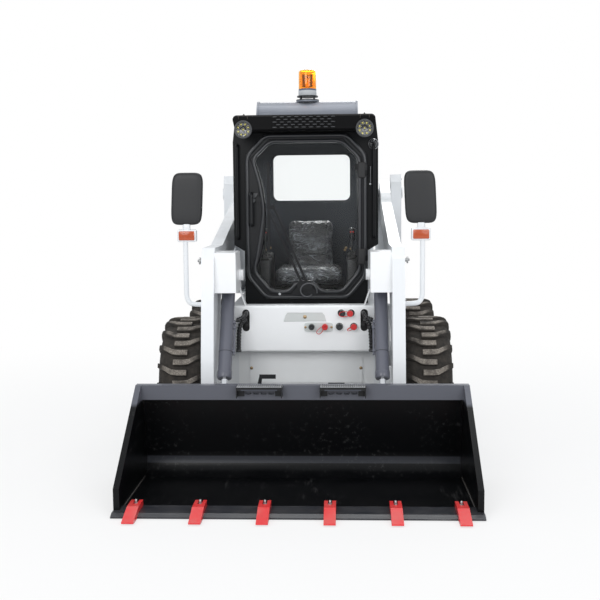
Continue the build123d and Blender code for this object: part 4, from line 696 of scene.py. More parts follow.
def beacon():
    y, r = edgeY + lamp["beaconY"], lamp["beaconRadius"]
    floor = cadBox[1][2] - lamp["domeHeight"]
    place = (0, y, floor)
    outer = [(0.0, r - 0.001), (0.003, r), (0.113, r - 0.0005), (0.12, r - 0.003), (0.1245, r - 0.008),
             (0.127, r - 0.016), (0.128, r - 0.03), (0.128, 0.0)]
    inner = [(min(height, 0.1245), max(out - lamp["wall"], 0)) for height, out in outer[::-1]]
    ring = mm(-1.8, -5, 0, -3.5, 1.8, -5, 0, -6.5) + (0, r)
    rings = [latheShape(ring, (0, y, floor + h), upward, 48) for h in np.arange(0.014, 0.108, 0.0075)]
    # Reflector: a dish, y = depth * (u*u + v*v)
    count = 15
    u, v = np.meshgrid(*[np.linspace(-1, 1, count)] * 2, indexing="ij")
    dish = np.stack([0.034 * u, 0.026 - 0.022 * (u * u + v * v), 0.056 + 0.042 * v], -1).reshape(-1, 3)
    bulb = latheShape([(0, 0.001), (0, 0.012), (0.03, 0.012), (0.034, 0.008), (0.05, 0.009), (0.062, 0.006),
                       (0.066, 0.0005)], (0, y - 0.004, floor + 0.006), upward, 20)
    # Base: straight pale moulding with a blue-grey joint ring under the dome
    foot = lamp["baseHeight"] - 0.0005
    base = [(-0.012, 0.001), (-0.012, r + 0.0015), (-0.0135, r + 0.0022), (-foot + 0.003, r + 0.0022),
            (-foot, r + 0.0005), (-foot, 0.001)]
    joint = [(-0.0005, 0.001), (-0.0005, r + 0.0008), (-0.0118, r + 0.0008), (-0.0118, 0.001)]
    dome, dish = latheShape(outer + inner, place, upward, 64), (dish + place, gridFaces(count, count))
    made = [addSolid("beaconDome", dome, amberGlass, "chassis", sharp=50),
            addMesh("beaconRings", rings, amberGlass, "chassis"),
            addMesh("beaconReflector", dish, lampShell, "chassis", sharp=0),
            addMesh("beaconBulb", bulb, ledYellowPaintedGlow, "chassis"),
            addSolid("beaconBase", latheShape(base, place, upward, 64), greyPlastic, "chassis"),
            addSolid("beaconJoint", latheShape(joint, place, upward, 64), jointPlastic, "chassis")]
    made[2].modifiers.new("wall", "SOLIDIFY").thickness = lamp["wall"] / 2
    return made


def workLamps():
    face, r = corner("visor")[0][1] + 0.0005, lamp["lampRadius"]
    # A lamp's bezel, its cups and lights with one in the middle and the others in a ring, and the lens
    bezel = mm(-4, -12, 8, -12, 10.5, -8, 10.5, -3, 7, 0, -4, 0) + (0, r)
    cup = mm(-2, 12.5, 4, 12.5, 4, 11.8, -1.2, 7, -1.5, 0)
    plate = [(-0.003, 0.0005), (-0.003, r - 0.011), (-0.001, r - 0.011), (-0.001, 0.0005)]
    led = mm(-1, 0.2, -1, 5.8, 1.2, 5.4, 2.8, 3.4, 3.4, 0.2)
    lens = [(0.0055, 0.0), (0.0055, r - 0.0115), (0.0075, r - 0.0115), (0.0078, 0.0)]
    turns = (np.arange(lamp["ledCount"]) + 0.5) * 2 * np.pi / lamp["ledCount"]
    made = []
    for side, sign in sides:
        centre = np.array([sign * lamp["lampX"], face, lamp["lampZ"]])
        places = [centre] + [centre + (lamp["ledRing"] * math.cos(a), 0, lamp["ledRing"] * math.sin(a))
                             for a in turns]
        cups = [latheShape(cup, p, ahead, 20) for p in places] + [latheShape(plate, centre, ahead, 40)]
        leds = [latheShape(led, p, ahead, 16) for p in places]
        made += [addSolid(f"lampBezel_{side}", latheShape(bezel, centre, ahead, 56), lampShell, "chassis"),
                 addSolid(f"lampCups_{side}", cups, cupPlastic, "chassis"),
                 addSolid(f"lampLeds_{side}", leds, ledYellowPaintedGlow, "chassis"),
                 addSolid(f"lampLens_{side}", latheShape(lens, centre, ahead, 48), lensGlass, "chassis",
                          slot="lamp_clear")]
    return made


def tailLamps():
    back = corner("lamps")[1][1]
    made = []
    for side, sign in sides:
        left, right = sorted(sign * x for x in lamp["tailX"])
        low, high = lamp["tailZ"]
        body = roundBoxShape((left, back - 0.0237, low), (right, back - 0.008, high), 0.006)
        made.append(addMesh(f"tailLampBody_{side}", body, blackPlastic, "chassis"))
        lenses = ((redLens, 1.06, 1.12), (indicatorLens, 1.125, 1.185), (greyPlastic, 1.19, 1.25))
        for index, (material, z0, z1) in enumerate(lenses):
            lens = roundBoxShape((left + 0.008, back - 0.012, z0),
                                 (right - 0.008, back - 0.0005, z1), 0.008)
            made.append(addMesh(f"tailLampLens{index}_{side}", lens, material, "chassis"))
    return made


for piece in beacon() + workLamps() + tailLamps():
    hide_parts("lamps")
print("lamps done")


# Mirrors: domed housings, glass behind, bracket, indicator, bent tube with its clamp

mirror = {"x": 0.7, "y": 1.11, "width": 0.187, "height": 0.313, "bottom": 1.445, "tubeX": 0.715,
          "tube": 0.015, "lean": 0.05, "around": 72, "power": 2 / 5.5, "armX": 0.604,
          "plateX": (0.602, 0.61)}


# A quadratic curve from the first point to the last, drawn towards the middle one
def curveBetween(first, middle, last, share):
    return (1 - share) ** 2 * first + 2 * share * (1 - share) * middle + share ** 2 * last


def mirrors():
    m = mirror
    y, count = edgeY + m["y"], m["around"]
    # Rows of the housing and of its glass: share of the outline, place behind the mirror's middle
    rows = np.array([(0.05, -0.019), (0.3, -0.019), (0.55, -0.0186), (0.75, -0.018), (0.88, -0.0165),
                     (0.95, -0.0135), (0.985, -0.0085), (1.0, -0.002), (1.0, 0.014), (0.97, 0.019),
                     (0.945, 0.0185), (0.94, 0.012), (0.05, 0.012)])
    glassRows = np.array([(0.935, 0.0125), (0.93, 0.0145), (0.05, 0.0165)])
    made = []
    for side, sign in sides:
        x, z = sign * m["x"], m["bottom"] + m["height"] / 2
        outline = superellipse(count, m["width"] / 2, m["height"] / 2, m["power"])
        outline[:, 0] -= sign * m["lean"] * outline[:, 1]

        def dished(table):
            share, behind = table[:, :1], table[:, 1:]
            verts = np.stack([x + share * outline[:, 0], y + behind + 0 * outline[:, 0],
                              z + share * outline[:, 1]], -1)
            return verts.reshape(-1, 3), ringFaces(len(table), count)
        made.append(addSolid(f"mirrorHousing_{side}", dished(rows), blackPlastic, "lift_arms"))
        made.append(addSolid(f"mirrorGlass_{side}", dished(glassRows), mirrorGlass, "lift_arms"))
        # Tube: down from the housing, bent in to the arm's outer side
        tubeX, inward, tubeY = sign * m["tubeX"], sign * (m["tubeX"] - 0.025), y + 0.004
        points = np.array([(tubeX, tubeY, 1.03), (tubeX, tubeY, 0.985), (inward, tubeY, 0.968),
                           (inward - sign * 0.02, tubeY, 0.96), (sign * m["armX"], tubeY, 0.96)])
        share = np.linspace(0, 1, 9)[:, None]
        path = np.concatenate([[[tubeX, tubeY, m["bottom"] + 0.05]], curveBetween(*points[:3], share),
                               curveBetween(*points[2:], share)[1:]])
        made.append(addSolid(f"mirrorTube_{side}", tubeShape(path, m["tube"], 18), whitePaint, "lift_arms"))
        # Bracket plate on the arm, with its bolts, and the clamp between the tube and the housing's back
        near, far = sorted(sign * edge for edge in m["plateX"])
        plate = roundBoxShape((near, y - 0.036, 0.925), (far, y + 0.044, 1.0), 0.003)
        heads = boltShapes([(sign * m["plateX"][1], y + out, up) for up in (0.94, 0.985)
                            for out in (-0.022, 0.03)], (sign, 0, 0), 0.007)
        clamp = roundBoxShape((tubeX - 0.022, y - 0.012, 1.53), (tubeX + 0.022, y + 0.019, 1.575), 0.006)
        # Indicator: white box, ribbed orange lens in front, short white stub up to the housing
        cx = sign * (m["x"] + 0.004)
        body = [roundBoxShape((cx - 0.0575, y - 0.018, 1.3425), (cx + 0.0575, y + 0.034, 1.4175), 0.009),
                roundBoxShape((cx - 0.02, y - 0.012, 1.41), (cx + 0.02, y + 0.012, 1.452), 0.006)]
        lens = [roundBoxShape((cx - 0.048, y - 0.0255, 1.352), (cx + 0.048, y - 0.012, 1.408), 0.006)]
        lens += [roundBoxShape((cx - 0.044, y - 0.0265, z0), (cx + 0.044, y - 0.02, z0 + 0.004), 0.0015, 2)
                 for z0 in np.arange(1.36, 1.402, 0.0085)]
        for name, shape, material in (
                ("mirrorFoot", plate, whitePaint), ("mirrorBolts", heads, boltSteel),
                ("mirrorClamp", clamp, blackPlastic), ("indicatorBody", body, whitePaint),
                ("indicatorLens", lens, indicatorLens)):
            made.append(addMesh(f"{name}_{side}", shape, material, "lift_arms"))
    for piece in made:
        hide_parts("mirrors")


mirrors()
print("mirrors done")


# Hoses: from the member's slots to the tilt cylinders, and looms beside them, with crimped ends

hose = {"outX": 0.362, "portX": 0.4175, "portZ": 0.858, "portY": 1.157, "radius": 0.0135, "loomX": 0.372,
        "loomRadius": 0.0155}


# A hose in a spiral wrap: radius = r + rise * flat-topped wave of (turn - 2 pi * length / pitch)
def wrappedHose(route, radius, rise, pitch, count=28):
    path, along = evenly(splinePoints(route), pitch / 9)
    turn = np.linspace(0, 2 * np.pi, count, endpoint=False)
    wave = np.cos(turn[None, :] - 2 * np.pi * along[:, None] / pitch)
    return tubeShape(path, radius - rise + rise * np.clip(wave * 2.2 + 0.9, 0, 1), count)


def hoses():
    outX, portX, portY, portZ, loomX = (hose[key] for key in ("outX", "portX", "portY", "portZ", "loomX"))
    route = [(outX, 1.28, portZ + 0.034), (outX, 1.21, portZ + 0.036),
             (outX + 0.004, portY + 0.008, portZ + 0.03), (outX + 0.026, portY, portZ + 0.008),
             (portX, portY, portZ)]
    loom = [(loomX, 1.28, 0.852), (loomX, 1.232, 0.852), (loomX + 0.004, 1.2, 0.85),
            (loomX + 0.026, 1.192, 0.828), (loomX + 0.034, 1.188, 0.79), (loomX + 0.038, 1.187, 0.72),
            (loomX + 0.039, 1.188, 0.658)]
    # Crimped ferrule at the cylinder, the loom's end collar, and the elbow that the loom comes out of
    ferrule = mm(0, 4, 0, 11.8, 4, 12.6, 8, 11.8, 12, 12.6, 16, 11.8, 20, 12.6, 24, 11.2, 24, 4)
    collar = mm(0, 4, 0, 16.8, 6, 17.4, 12, 16.8, 16, 13, 16, 4)
    elbow = mm(0, 2, 0, 16, 12, 16, 14, 13, 30, 13, 30, 2)
    made = []
    for side, sign in sides:
        def place(x, y, z):
            return sign * x, edgeY + y, z
        ends = [latheShape(ferrule, place(portX - 0.022, portY, portZ), (sign, 0, 0), 24),
                latheShape(collar, place(loomX + 0.039, 1.188, 0.657), upward, 24)]
        slot = [roundBoxShape((sign * 0.368 - 0.03, edgeY + 1.262, 0.77),
                              (sign * 0.368 + 0.03, edgeY + 1.27, 0.92), 0.003),
                latheShape(elbow, place(0.36, 1.262, 0.82), ahead, 20)]
        cylinderHose = wrappedHose([place(*p) for p in route], hose["radius"], 0.0028, 0.015)
        hoseLoom = wrappedHose([place(*p) for p in loom], hose["loomRadius"], 0.0036, 0.019)
        made += [addSolid(f"cylinderHose_{side}", cylinderHose, glossPlastic, "lift_arms"),
                 addSolid(f"hoseLoom_{side}", hoseLoom, glossPlastic, "lift_arms"),
                 addSolid(f"hoseFerrules_{side}", ends, lampShell, "lift_arms"),
                 addMesh(f"slotGrommet_{side}", slot, rubberSeal, "lift_arms")]
    for piece in made:
        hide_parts("hoses")


hoses()
print("hoses done")


# Auxiliary couplers on the cross member: flat-faced sockets, dust caps with their straps, and the plates

# Sockets are (x, z, reach, cap), plugs are (x, cap)
auxiliary = {"highZ": 0.89, "lowZ": 0.806, "radius": 0.0165, "strap": 0.0032, "faceY": 1.24,
             "sockets": ((0.232, 0.89, 0.046, "black"), (0.280, 0.89, 0.052, "red"),
                         (0.214, 0.806, 0.044, "black"), (0.303, 0.806, 0.040, "red")),
             "plugs": ((0.042, "black"), (0.124, "red"))}


def auxCouplers():
    a = auxiliary
    face, r = edgeY + a["faceY"], a["radius"]
    y, low, high = face - 0.036, a["lowZ"], a["highZ"]
    steel, caps = [], {"black": [], "red": []}
    for x, z, reach, kind in a["sockets"]:
        start = (x, face + 0.012, z)
        body = [(0, 0.002), (0, r - 0.002), (reach - 0.012, r - 0.002), (reach - 0.01, r - 0.0005),
                (reach, r - 0.0005), (reach + 0.004, r - 0.003), (reach + 0.004, 0.002)]
        nut = [(0.012, 0.004), (0.012, r + 0.004), (0.026, r + 0.004), (0.026, 0.004)]
        cap = [(reach - 0.006, r - 0.004), (reach - 0.006, r + 0.0028), (reach + 0.005, r + 0.003),
               (reach + 0.009, r + 0.001), (reach + 0.0095, 0.001), (reach + 0.004, 0.001),
               (reach + 0.004, r - 0.004)]
        rings = [[(d, r - 0.004), (d, r + 0.0005), (d + 0.0022, r + 0.0005), (d + 0.0022, r - 0.004)]
                 for d in np.arange(0.029, reach - 0.004, 0.0045)]
        steel += [latheShape(body, start, ahead, 32), latheShape(nut, start, ahead, 6)]
        steel += [latheShape(ring, start, ahead, 32) for ring in rings]
        caps[kind].append(latheShape(cap, start, ahead, 40))
    plug = mm(0, 2, 0, 17.5, 30, 16.5, 33, 18.5, 38, 18.5, 41.5, 16, 42, 9, 38, 8, 37, 2)
    rib = mm(8, 1, 8, 2.2, 30, 1.8, 30, 1)
    for x, kind in a["plugs"]:
        caps[kind].append(latheShape(plug, (x, face - 0.004, low), ahead, 36))
        caps[kind] += [latheShape(rib, (x + 0.0168 * math.cos(t), face - 0.004, low + 0.0168 * math.sin(t)),
                                  ahead, 6) for t in np.arange(16) * np.pi / 8]
    # Straps: moulded loops that hold the caps, given as places (x, out from the caps, z) round each loop
    straps = [[(0.118, y, low - 0.008), (0.104, y - 0.008, low - 0.036), (0.082, y - 0.008, low - 0.044),
               (0.07, y - 0.002, low - 0.032), (0.084, y + 0.004, low - 0.012),
               (0.106, y + 0.006, low + 0.002)],
              [(0.294, y - 0.012, low - 0.012), (0.276, y - 0.014, low - 0.022), (0.262, y, low - 0.022),
               (0.268, y + 0.01, low - 0.01), (0.288, y + 0.01, low - 0.002)],
              [(0.274, y - 0.016, high + 0.012), (0.246, y - 0.02, high + 0.017),
               (0.214, y - 0.018, high + 0.008), (0.212, y - 0.018, high - 0.012),
               (0.24, y - 0.02, high - 0.02), (0.272, y - 0.016, high - 0.012)]]
    caps["red"] += [tubeShape(evenly(splinePoints(strap), 0.003)[0], a["strap"], 10, squash=0.6)
                    for strap in straps]

    # A plate or a well on the member's face, with round corners
    def plate(x, z, half, tall, power, front):
        outline = superellipse(48, half, tall, 2 / power) + (x, z)
        return plateShape(outline, face - front, face + 0.002)
    rims = [plate(0.256, high, 0.062, 0.03, 2.8, 0.004), plate(0.214, low, 0.03, 0.03, 2, 0.004),
            plate(0.303, low, 0.03, 0.03, 2, 0.004)]
    # The wells are discs in painted shade, standing in for the dark of the openings round the sockets
    wells = [plate(x, z, 0.0225, 0.0225, 2, 0.0048)
             for x, z in ((0.226, high), (0.286, high), (0.214, low), (0.303, low))]
    screws = boltShapes([(x, face - 0.0065, low - 0.004) for x in (0.003, 0.165)], ahead, 0.0058)
    backing = plate(0.084, low - 0.004, 0.088, 0.03, 6, 0.0065)
    made = [addSolid(name, shape, material, "lift_arms") for name, shape, material in (
        ("couplerPlate", backing, greyPlate), ("couplerRims", rims, whitePaint),
        ("couplerWells", wells, holeShade), ("couplerSockets", steel, boltSteel),
        ("couplerCapsBlack", caps["black"], glossPlastic), ("couplerCapsRed", caps["red"], redCap))]
    for piece in made[:2]:
        softenEdges(piece, 0.0012)
    for piece in made + [addMesh("couplerScrews", screws, bronzeSteel, "lift_arms")]:
        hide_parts("aux_couplers")


auxCouplers()
print("couplers done")


# Seat: cushion and back swell as cloth, their travel is capped, and then the seams are pressed in

seat = {"halfWidth": 0.245, "frontY": 1.85, "depth": 0.46, "bottom": 1.0103, "top": 1.125,
        "backHalf": 0.178, "backHeight": 0.42, "backDepth": 0.11, "backFoot": 1.05, "lean": 12.0,
        "voxel": 0.006, "swell": 0.009, "fill": 0.7, "pressure": 4.0, "frames": 20, "seamX": 0.145,
        "seamY": 0.13, "backSeamX": 0.112, "backSeams": (0.14, 0.27),
        # The pale colour is not the wrap's own: it is the painted highlight on its creases and its painted
        # sheen
        "vinyl": (0.02, 0.0215, 0.025, 1), "paintedFilmSheen": (0.52, 0.55, 0.6, 1),
        "long": (9.0, (0.8, 1.0, 2.2)), "short": (23.0, (1.0, 1.0, 1.5))}


# Thin lines where a noise passes its middle value: line = 1 - |noise - 0.5| / width, cut at 0
def creaseLines(net, place, scale, stretch, width):
    noise = net.noise(net.stretched(place, stretch), Scale=scale, Detail=2.5, Roughness=0.5, Distortion=0.9)
    away = net.math("ABSOLUTE", net.math("SUBTRACT", noise, 0.5))
    return net.ramp(away, 0.0, width, 1.0, 0.0)


# Black vinyl under a clear plastic wrap: the wrap's creases are painted in as pale lines, painted
# highlights where the light would catch them, with a broad painted sheen
def wrappedVinyl():
    material, net, shader = newMaterial("wrappedVinyl", paints["black"], 0.4, 0.0, 1.0, 0.06)
    place = net.place()
    # Painted highlights: pale crease lines, long and short, and a broad sheen are mixed into the base
    # colour; the same creases are also bumped
    long = net.times(creaseLines(net, place, *seat["long"], 0.022), net.cloud(place, 4.5, 0.38, 0.56, 2.0))
    short = net.times(creaseLines(net, place, *seat["short"], 0.03), net.cloud(place, 6.5, 0.48, 0.66, 2.0))
    broadPaintedSheen = net.cloud(net.stretched(place, (0.8, 1.0, 1.8)), 8.0, 0.52, 0.82, 3.0)
    lines = net.math("MAXIMUM", long, short)
    paintedFilmSheen = net.math("ADD", net.times(lines, 0.8), net.times(broadPaintedSheen, 0.4), clamp=True)
    net.join(net.blend(paintedFilmSheen, seat["vinyl"], seat["paintedFilmSheen"]), shader.inputs["Base Color"])
    height = net.math("ADD", creaseLines(net, place, *seat["long"], 0.09),
                      creaseLines(net, place, *seat["short"], 0.12))
    net.bump(shader, height, 0.7, 0.004)
    net.bump(shader, height, 0.9, 0.005, "Coat Normal")
    return material


# Cloth under pressure, stepped over some frames; a point's move is cut to the cap
def swollen(name, low, high, radius):
    cap, scene = seat["swell"], bpy.context.scene
    start = addSolid(name + "Start", roundBoxShape(low, high, radius, 6), vinyl, "chassis")
    remesh = start.modifiers.new("remesh", "REMESH")
    remesh.mode, remesh.voxel_size = "VOXEL", seat["voxel"]
    mesh = bpy.data.meshes.new_from_object(start.evaluated_get(bpy.context.evaluated_depsgraph_get()))
    bpy.data.objects.remove(start)
    points = readPoints(mesh)
    holder = bpy.data.objects.new(name + "Cloth", mesh)
    scene.collection.objects.link(holder)
    cloth = holder.modifiers.new("cloth", "CLOTH")
    cloth.settings.use_pressure, cloth.settings.uniform_pressure_force = True, seat["pressure"]
    cloth.settings.effector_weights.gravity = 0.0
    cloth.settings.quality = 5
    cloth.point_cache.frame_start, cloth.point_cache.frame_end = 1, seat["frames"]
    for step in range(1, seat["frames"] + 1):
        scene.frame_set(step)
    swelled = bpy.data.meshes.new_from_object(holder.evaluated_get(bpy.context.evaluated_depsgraph_get()))
    moved = readPoints(swelled) - points
    bpy.data.objects.remove(holder)
    bpy.data.meshes.remove(swelled)
    scene.frame_set(1)
    length = np.linalg.norm(moved, axis=1, keepdims=True)
    return mesh, points + moved * np.minimum(1, cap / np.maximum(length, 1e-9))


# A seam's groove: depth * exp(-(distance / width) ** 2), pressed along one direction
def seams(points, normal, distances, depth=0.007, width=0.006):
    press = sum(np.exp(-(distance / width) ** 2) for distance in distances)
    return points - np.asarray(normal)[None] * (depth * np.clip(press, 0, 1))[:, None]


def padPiece(name, mesh, points, node):
    mesh.vertices.foreach_set("co", points.ravel())
    mesh.polygons.foreach_set("use_smooth", [True] * len(mesh.polygons))
    mesh.materials.clear()
    mesh.materials.append(vinyl)
    mesh.update()
    piece = bpy.data.objects.new(name, mesh)
    bpy.context.scene.collection.objects.link(piece)
    smooth = piece.modifiers.new("smooth", "SUBSURF")
    smooth.levels = smooth.render_levels = 1
    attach(piece, "chassis")
    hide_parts(node)


def seatPads():
    s = seat
    inset, beyond = s["swell"] * 0.8, 9
    front, back = edgeY + s["frontY"], edgeY + s["frontY"] + s["depth"]
    low = np.array([-s["halfWidth"] + inset, front + inset, s["bottom"] + 0.002])
    high = np.array([s["halfWidth"] - inset, back - inset - 0.004, s["top"] - inset])
    mesh, points = swollen("seatCushion", low, high, 0.04)
    points[:, 2] = np.maximum(points[:, 2], s["bottom"] + 0.0005)
    upper = np.clip((points[:, 2] - s["bottom"] - 0.05) / 0.02, 0, 1).clip(0.05)
    x, y = np.abs(points[:, 0]), points[:, 1] - front
    lines = [(x - s["seamX"]) / upper, (y - s["seamY"]) / upper + beyond * (x > s["seamX"])]
    padPiece("seatCushion", mesh, seams(points, upward, lines), "seat_cushion")
    # The back is made upright in front of its foot, pressed, and leaned back about the foot
    mesh, points = swollen("seatBack", (-s["backHalf"] + inset, inset, inset),
                           (s["backHalf"] - inset, s["backDepth"] - inset, s["backHeight"] - inset), 0.05)
    x, z = np.abs(points[:, 0]), points[:, 2]
    face = np.clip((0.04 - points[:, 1]) / 0.02, 0.05, 1)
    lines = [(x - s["backSeamX"]) / face]
    lines += [(z - level + beyond * (x > s["backSeamX"])) / face for level in s["backSeams"]]
    points = seams(points, ahead, lines)
    lean = math.radians(s["lean"])
    y, z = points[:, 1].copy(), points[:, 2].copy()
    points[:, 1] = back + 0.0003 + y * math.cos(lean) + z * math.sin(lean)
    points[:, 2] = s["backFoot"] + z * math.cos(lean) - y * math.sin(lean)
    padPiece("seatBack", mesh, points, "seat_back")


vinyl = wrappedVinyl()
seatPads()
print("seat done")


# Seat's foot with bellows, the consoles with arm pads, and the two control sticks

console = {"across": (0.262, 0.34), "frontY": 1.9, "backY": 2.33, "padY": (2.03, 2.3), "top": 1.19,
           "stickY": 1.935, "stickX": 0.3, "floor": 0.9123, "bellows": (0.93, 1.0), "pleats": 29,
           "footX": 0.19, "footY": (1.95, 2.3)}


def consoles():
    c = console
    # Bellows: a rounded outline, its size waving with height
    rows, count = c["pleats"], 64
    wave = 1 - 0.035 * (0.5 + 0.5 * np.cos(np.arange(rows) * np.pi / 2))
    rings = np.zeros((rows, count, 3))
    rings[..., :2] = superellipse(count, 0.188, 0.173, 0.33)[None] * wave[:, None, None]
    rings[..., 1] += edgeY + 2.125
    rings[..., 2] = np.linspace(*c["bellows"], rows)[:, None]
    plates = [roundBoxShape((-c["footX"], edgeY + c["footY"][0], low),
                            (c["footX"], edgeY + c["footY"][1], high), radius)
              for low, high, radius in ((c["floor"], 0.934, 0.006), (0.996, 1.0098, 0.005))]
    made = [addSolid("seatBellows", (rings.reshape(-1, 3), ringFaces(rows, count)), rubberSeal, "chassis"),
            addMesh("seatPlates", plates, blackPaint, "chassis")]
    boot = [(0.004 + 0.0055 * k, 0.031 - 0.0022 * k - (0.004 if k % 2 else 0)) for k in range(9)]
    boot = [(0, 0.002)] + boot + [(0.056, 0.009), (0.056, 0.002)]
    grip = mm(40, 7.5, 118, 7.5, 120, 16, 128, 20.5, 150, 19.5, 170, 20.5, 190, 22.5, 204, 22.8, 212, 18,
              214.5, 2, 120, 2, 40, 2)
    button = mm(0, 1, 0, 5.2, 2.2, 4.8, 3, 1)
    for side, sign in sides:
        left, right = sorted(sign * x for x in c["across"])
        box = roundBoxShape((left, edgeY + c["frontY"], c["floor"]),
                            (right, edgeY + c["backY"], c["top"] - 0.006), 0.016, 4)
        pad = roundBoxShape((left + 0.004, edgeY + c["padY"][0], c["top"] - 0.012),
                            (right - 0.004, edgeY + c["padY"][1], c["top"] + 0.02), 0.015, 4)
        foot = np.array([sign * c["stickX"], edgeY + c["stickY"], c["top"] - 0.006])
        buttons = [latheShape(button, foot + (dx, -0.0195, dz), ahead, 16)
                   for dx, dz in ((0.0, 0.198), (-0.008, 0.184), (0.008, 0.184))]
        made += [addMesh(f"console_{side}", box, blackPlastic, "chassis"),
                 addMesh(f"armPad_{side}", pad, rubberSeal, "chassis"),
                 addSolid(f"stickBoot_{side}", latheShape(boot, foot, upward, 36), rubberSeal, "chassis"),
                 addSolid(f"stickGrip_{side}", latheShape(grip, foot, upward, 32), glossPlastic, "chassis"),
                 addMesh(f"stickButtons_{side}", buttons, redCap, "chassis")]
    for piece in made:
        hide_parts("seat_consoles")


consoles()
print("consoles done")


# Fasteners and small fittings of the chassis and the lift arms

fitting = {"coverBoltX": 0.349, "coverBoltZ": (0.523, 0.8), "coverY": 1.357, "recessY": 1.2438,
           "armOuterX": 0.602, "pivotY": 2.93, "pivotZ": 1.64, "knobY": 1.05, "knobZ": 1.231,
           "towerX": 0.695, "wallY": 2.707, "capRing": 0.027,
           "towerBolts": mm(0, 1745, -55, 1100, 55, 1100, -55, 960, 55, 960),
           "recess": mm(-131.5, 839.5, 131.5, 839.5, 120.5, 877, 107, 891, -107, 891, -120.5, 877),
           "wallBolts": mm(-408, 1214, -325, 1222, -363, 1206, -408, 1160, 262, 1218, 254, 1202, 300, 1210)}


# Places on a ring about a point, in the plane across X
def ringPlaces(centre, radius, count, start=0.0):
    return [(centre[0], centre[1] + radius * math.cos(t), centre[2] + radius * math.sin(t))
            for t in np.arange(count) * 2 * np.pi / count + start]


def fasteners():
    f = fitting
    # Bronze bolts with wide washers on the front cover, in the member's recess and behind the seat
    cover = [(s * f["coverBoltX"], edgeY + f["coverY"], z) for s in (-1, 1) for z in f["coverBoltZ"]]
    recess = edgeY + f["recessY"]
    wall = [(x, edgeY + f["wallY"], z) for x, z in f["wallBolts"]]
    addMesh("coverBolts", boltShapes(cover, ahead, 0.0074), bronzeSteel, "chassis")
    addMesh("recessBolt", boltShapes([(0.0, recess, 0.866)], ahead, 0.0085), bronzeSteel, "lift_arms")
    # The recess's floor and ledge are painted shade, greyer and darker than the white panel
    addMesh("recessFloor", plateShape(f["recess"], recess, recess + 0.0018), recessShade, "lift_arms",
            smooth=False)
    ledge = roundBoxShape((-0.132, recess - 0.0036, 0.8372), (0.132, recess + 0.0007, 0.8402), 0.0014, 2)
    addMesh("recessLedge", ledge, ledgeShade, "lift_arms")
    addMesh("wallBolts", boltShapes(wall, ahead, 0.0075), bronzeSteel, "chassis")
    # Round knobs at the knees, with a bevelled rim and a hexagon in the middle, and retaining plates over
    # the arms' main pins, each held by three bolts
    knob = mm(-2, 2, -2, 12, 12, 12, 13, 21, 20, 22, 22.5, 19, 23.5, 2)
    cap = mm(-4, 2, -4, 47, 4, 47, 8, 43, 8.5, 2)
    caps, knobs, posts = [], [], []
    for side, sign in sides:
        out = (sign, 0, 0)
        middle = np.array([sign * f["armOuterX"], edgeY + f["knobY"], f["knobZ"]])
        pin = np.array([sign * f["towerX"], edgeY + f["pivotY"], f["pivotZ"]])
        knobs += [latheShape(knob, middle, out, 32)]
        knobs += boltShapes([middle + (sign * 0.0225, 0, 0)], out, 0.0085, washer=False)
        caps.append(latheShape(cap, pin, out, 48))
        caps += boltShapes(ringPlaces(pin + (sign * 0.008, 0, 0), f["capRing"], 3, 0.5), out, 0.0075)
        posts += boltShapes([(pin[0], pin[1] + dy, z) for dy, z in f["towerBolts"]], out, 0.0095)
    addMesh("kneeKnobs", knobs, boltSteel, "lift_arms")
    addMesh("pivotCaps", caps, blackPaint, "chassis")
    addMesh("towerBolts", posts, boltSteel, "chassis")


wheelFitting = {"nutX": 0.7545, "nutRing": 0.102, "nuts": 8, "valve": (0.757, 0.12, 0.1), "hubX": 0.8,
                "hubRing": 0.036, "hubBolts": 5}


def wheelHardware():
    w = wheelFitting
    # A nut's washer, hexagon and stud end, each with its number of sides, and the valve
    nut = ((mm(0, 2, 0, 18, 3.5, 17.2, 3.5, 2), 24),
           (mm(3, 2, 3, 15.5, 14.5, 15.5, 17, 12.5, 17, 2), 6),
           (mm(16, 0.5, 16, 8.2, 22.5, 8.2, 24, 7, 24, 0.5), 16))
    valve = mm(0, 1, 0, 8, 8, 6.5, 22, 5, 24, 5.8, 36, 5.8, 38, 4, 38, 1)
    for wheel, sign in wheels:
        y, z = sum(corner(f"tyre_{wheel}"))[1:] / 2
        out, body = (sign, 0, 0), f"wheel_{wheel}"
        nuts = [latheShape(profile, spot, out, count)
                for spot in ringPlaces((sign * w["nutX"], y, z), w["nutRing"], w["nuts"])
                for profile, count in nut]
        addSolid(f"wheelNuts_{wheel}", nuts, boltSteel, body)
        valveX, valveY, valveZ = w["valve"]
        addSolid(f"wheelValve_{wheel}", latheShape(valve, (sign * valveX, y + valveY, z + valveZ), out, 16),
                 rubberSeal, body)
        hub = boltShapes(ringPlaces((sign * w["hubX"], y, z), w["hubRing"], w["hubBolts"]), out, 0.0062)
        addMesh(f"hubBolts_{wheel}", hub, boltSteel, body)


fasteners()
wheelHardware()
print("fasteners done")


# Bucket: weld beads in its corners, bolts in the teeth's forks, serrated step edges

bucket = {"innerHalf": 0.9075, "floorZ": 0.0135, "heelY": 0.796, "topY": 0.696, "topZ": 0.554,
          "lipZ": 0.468, "corner": 0.11, "plate": 0.0102, "teeth": 6, "pitch": 0.333, "boltY": 0.119,
          "stepAcross": (0.105, 0.362), "stepFront": 0.586, "stepBack": 0.648, "serrations": 21,
          "slots": 5, "slotPitch": 0.048, "slotHalf": 0.017}


# A weld bead: a tube whose radius swells at every drop, radius * (1 + 0.2 * sin(2 pi * length / 6 mm))
def bead(points, radius=0.0042):
    path, along = evenly(points, 0.0016)
    return tubeShape(path, radius * (1 + 0.2 * np.sin(2 * np.pi * along / 0.006)), 8)


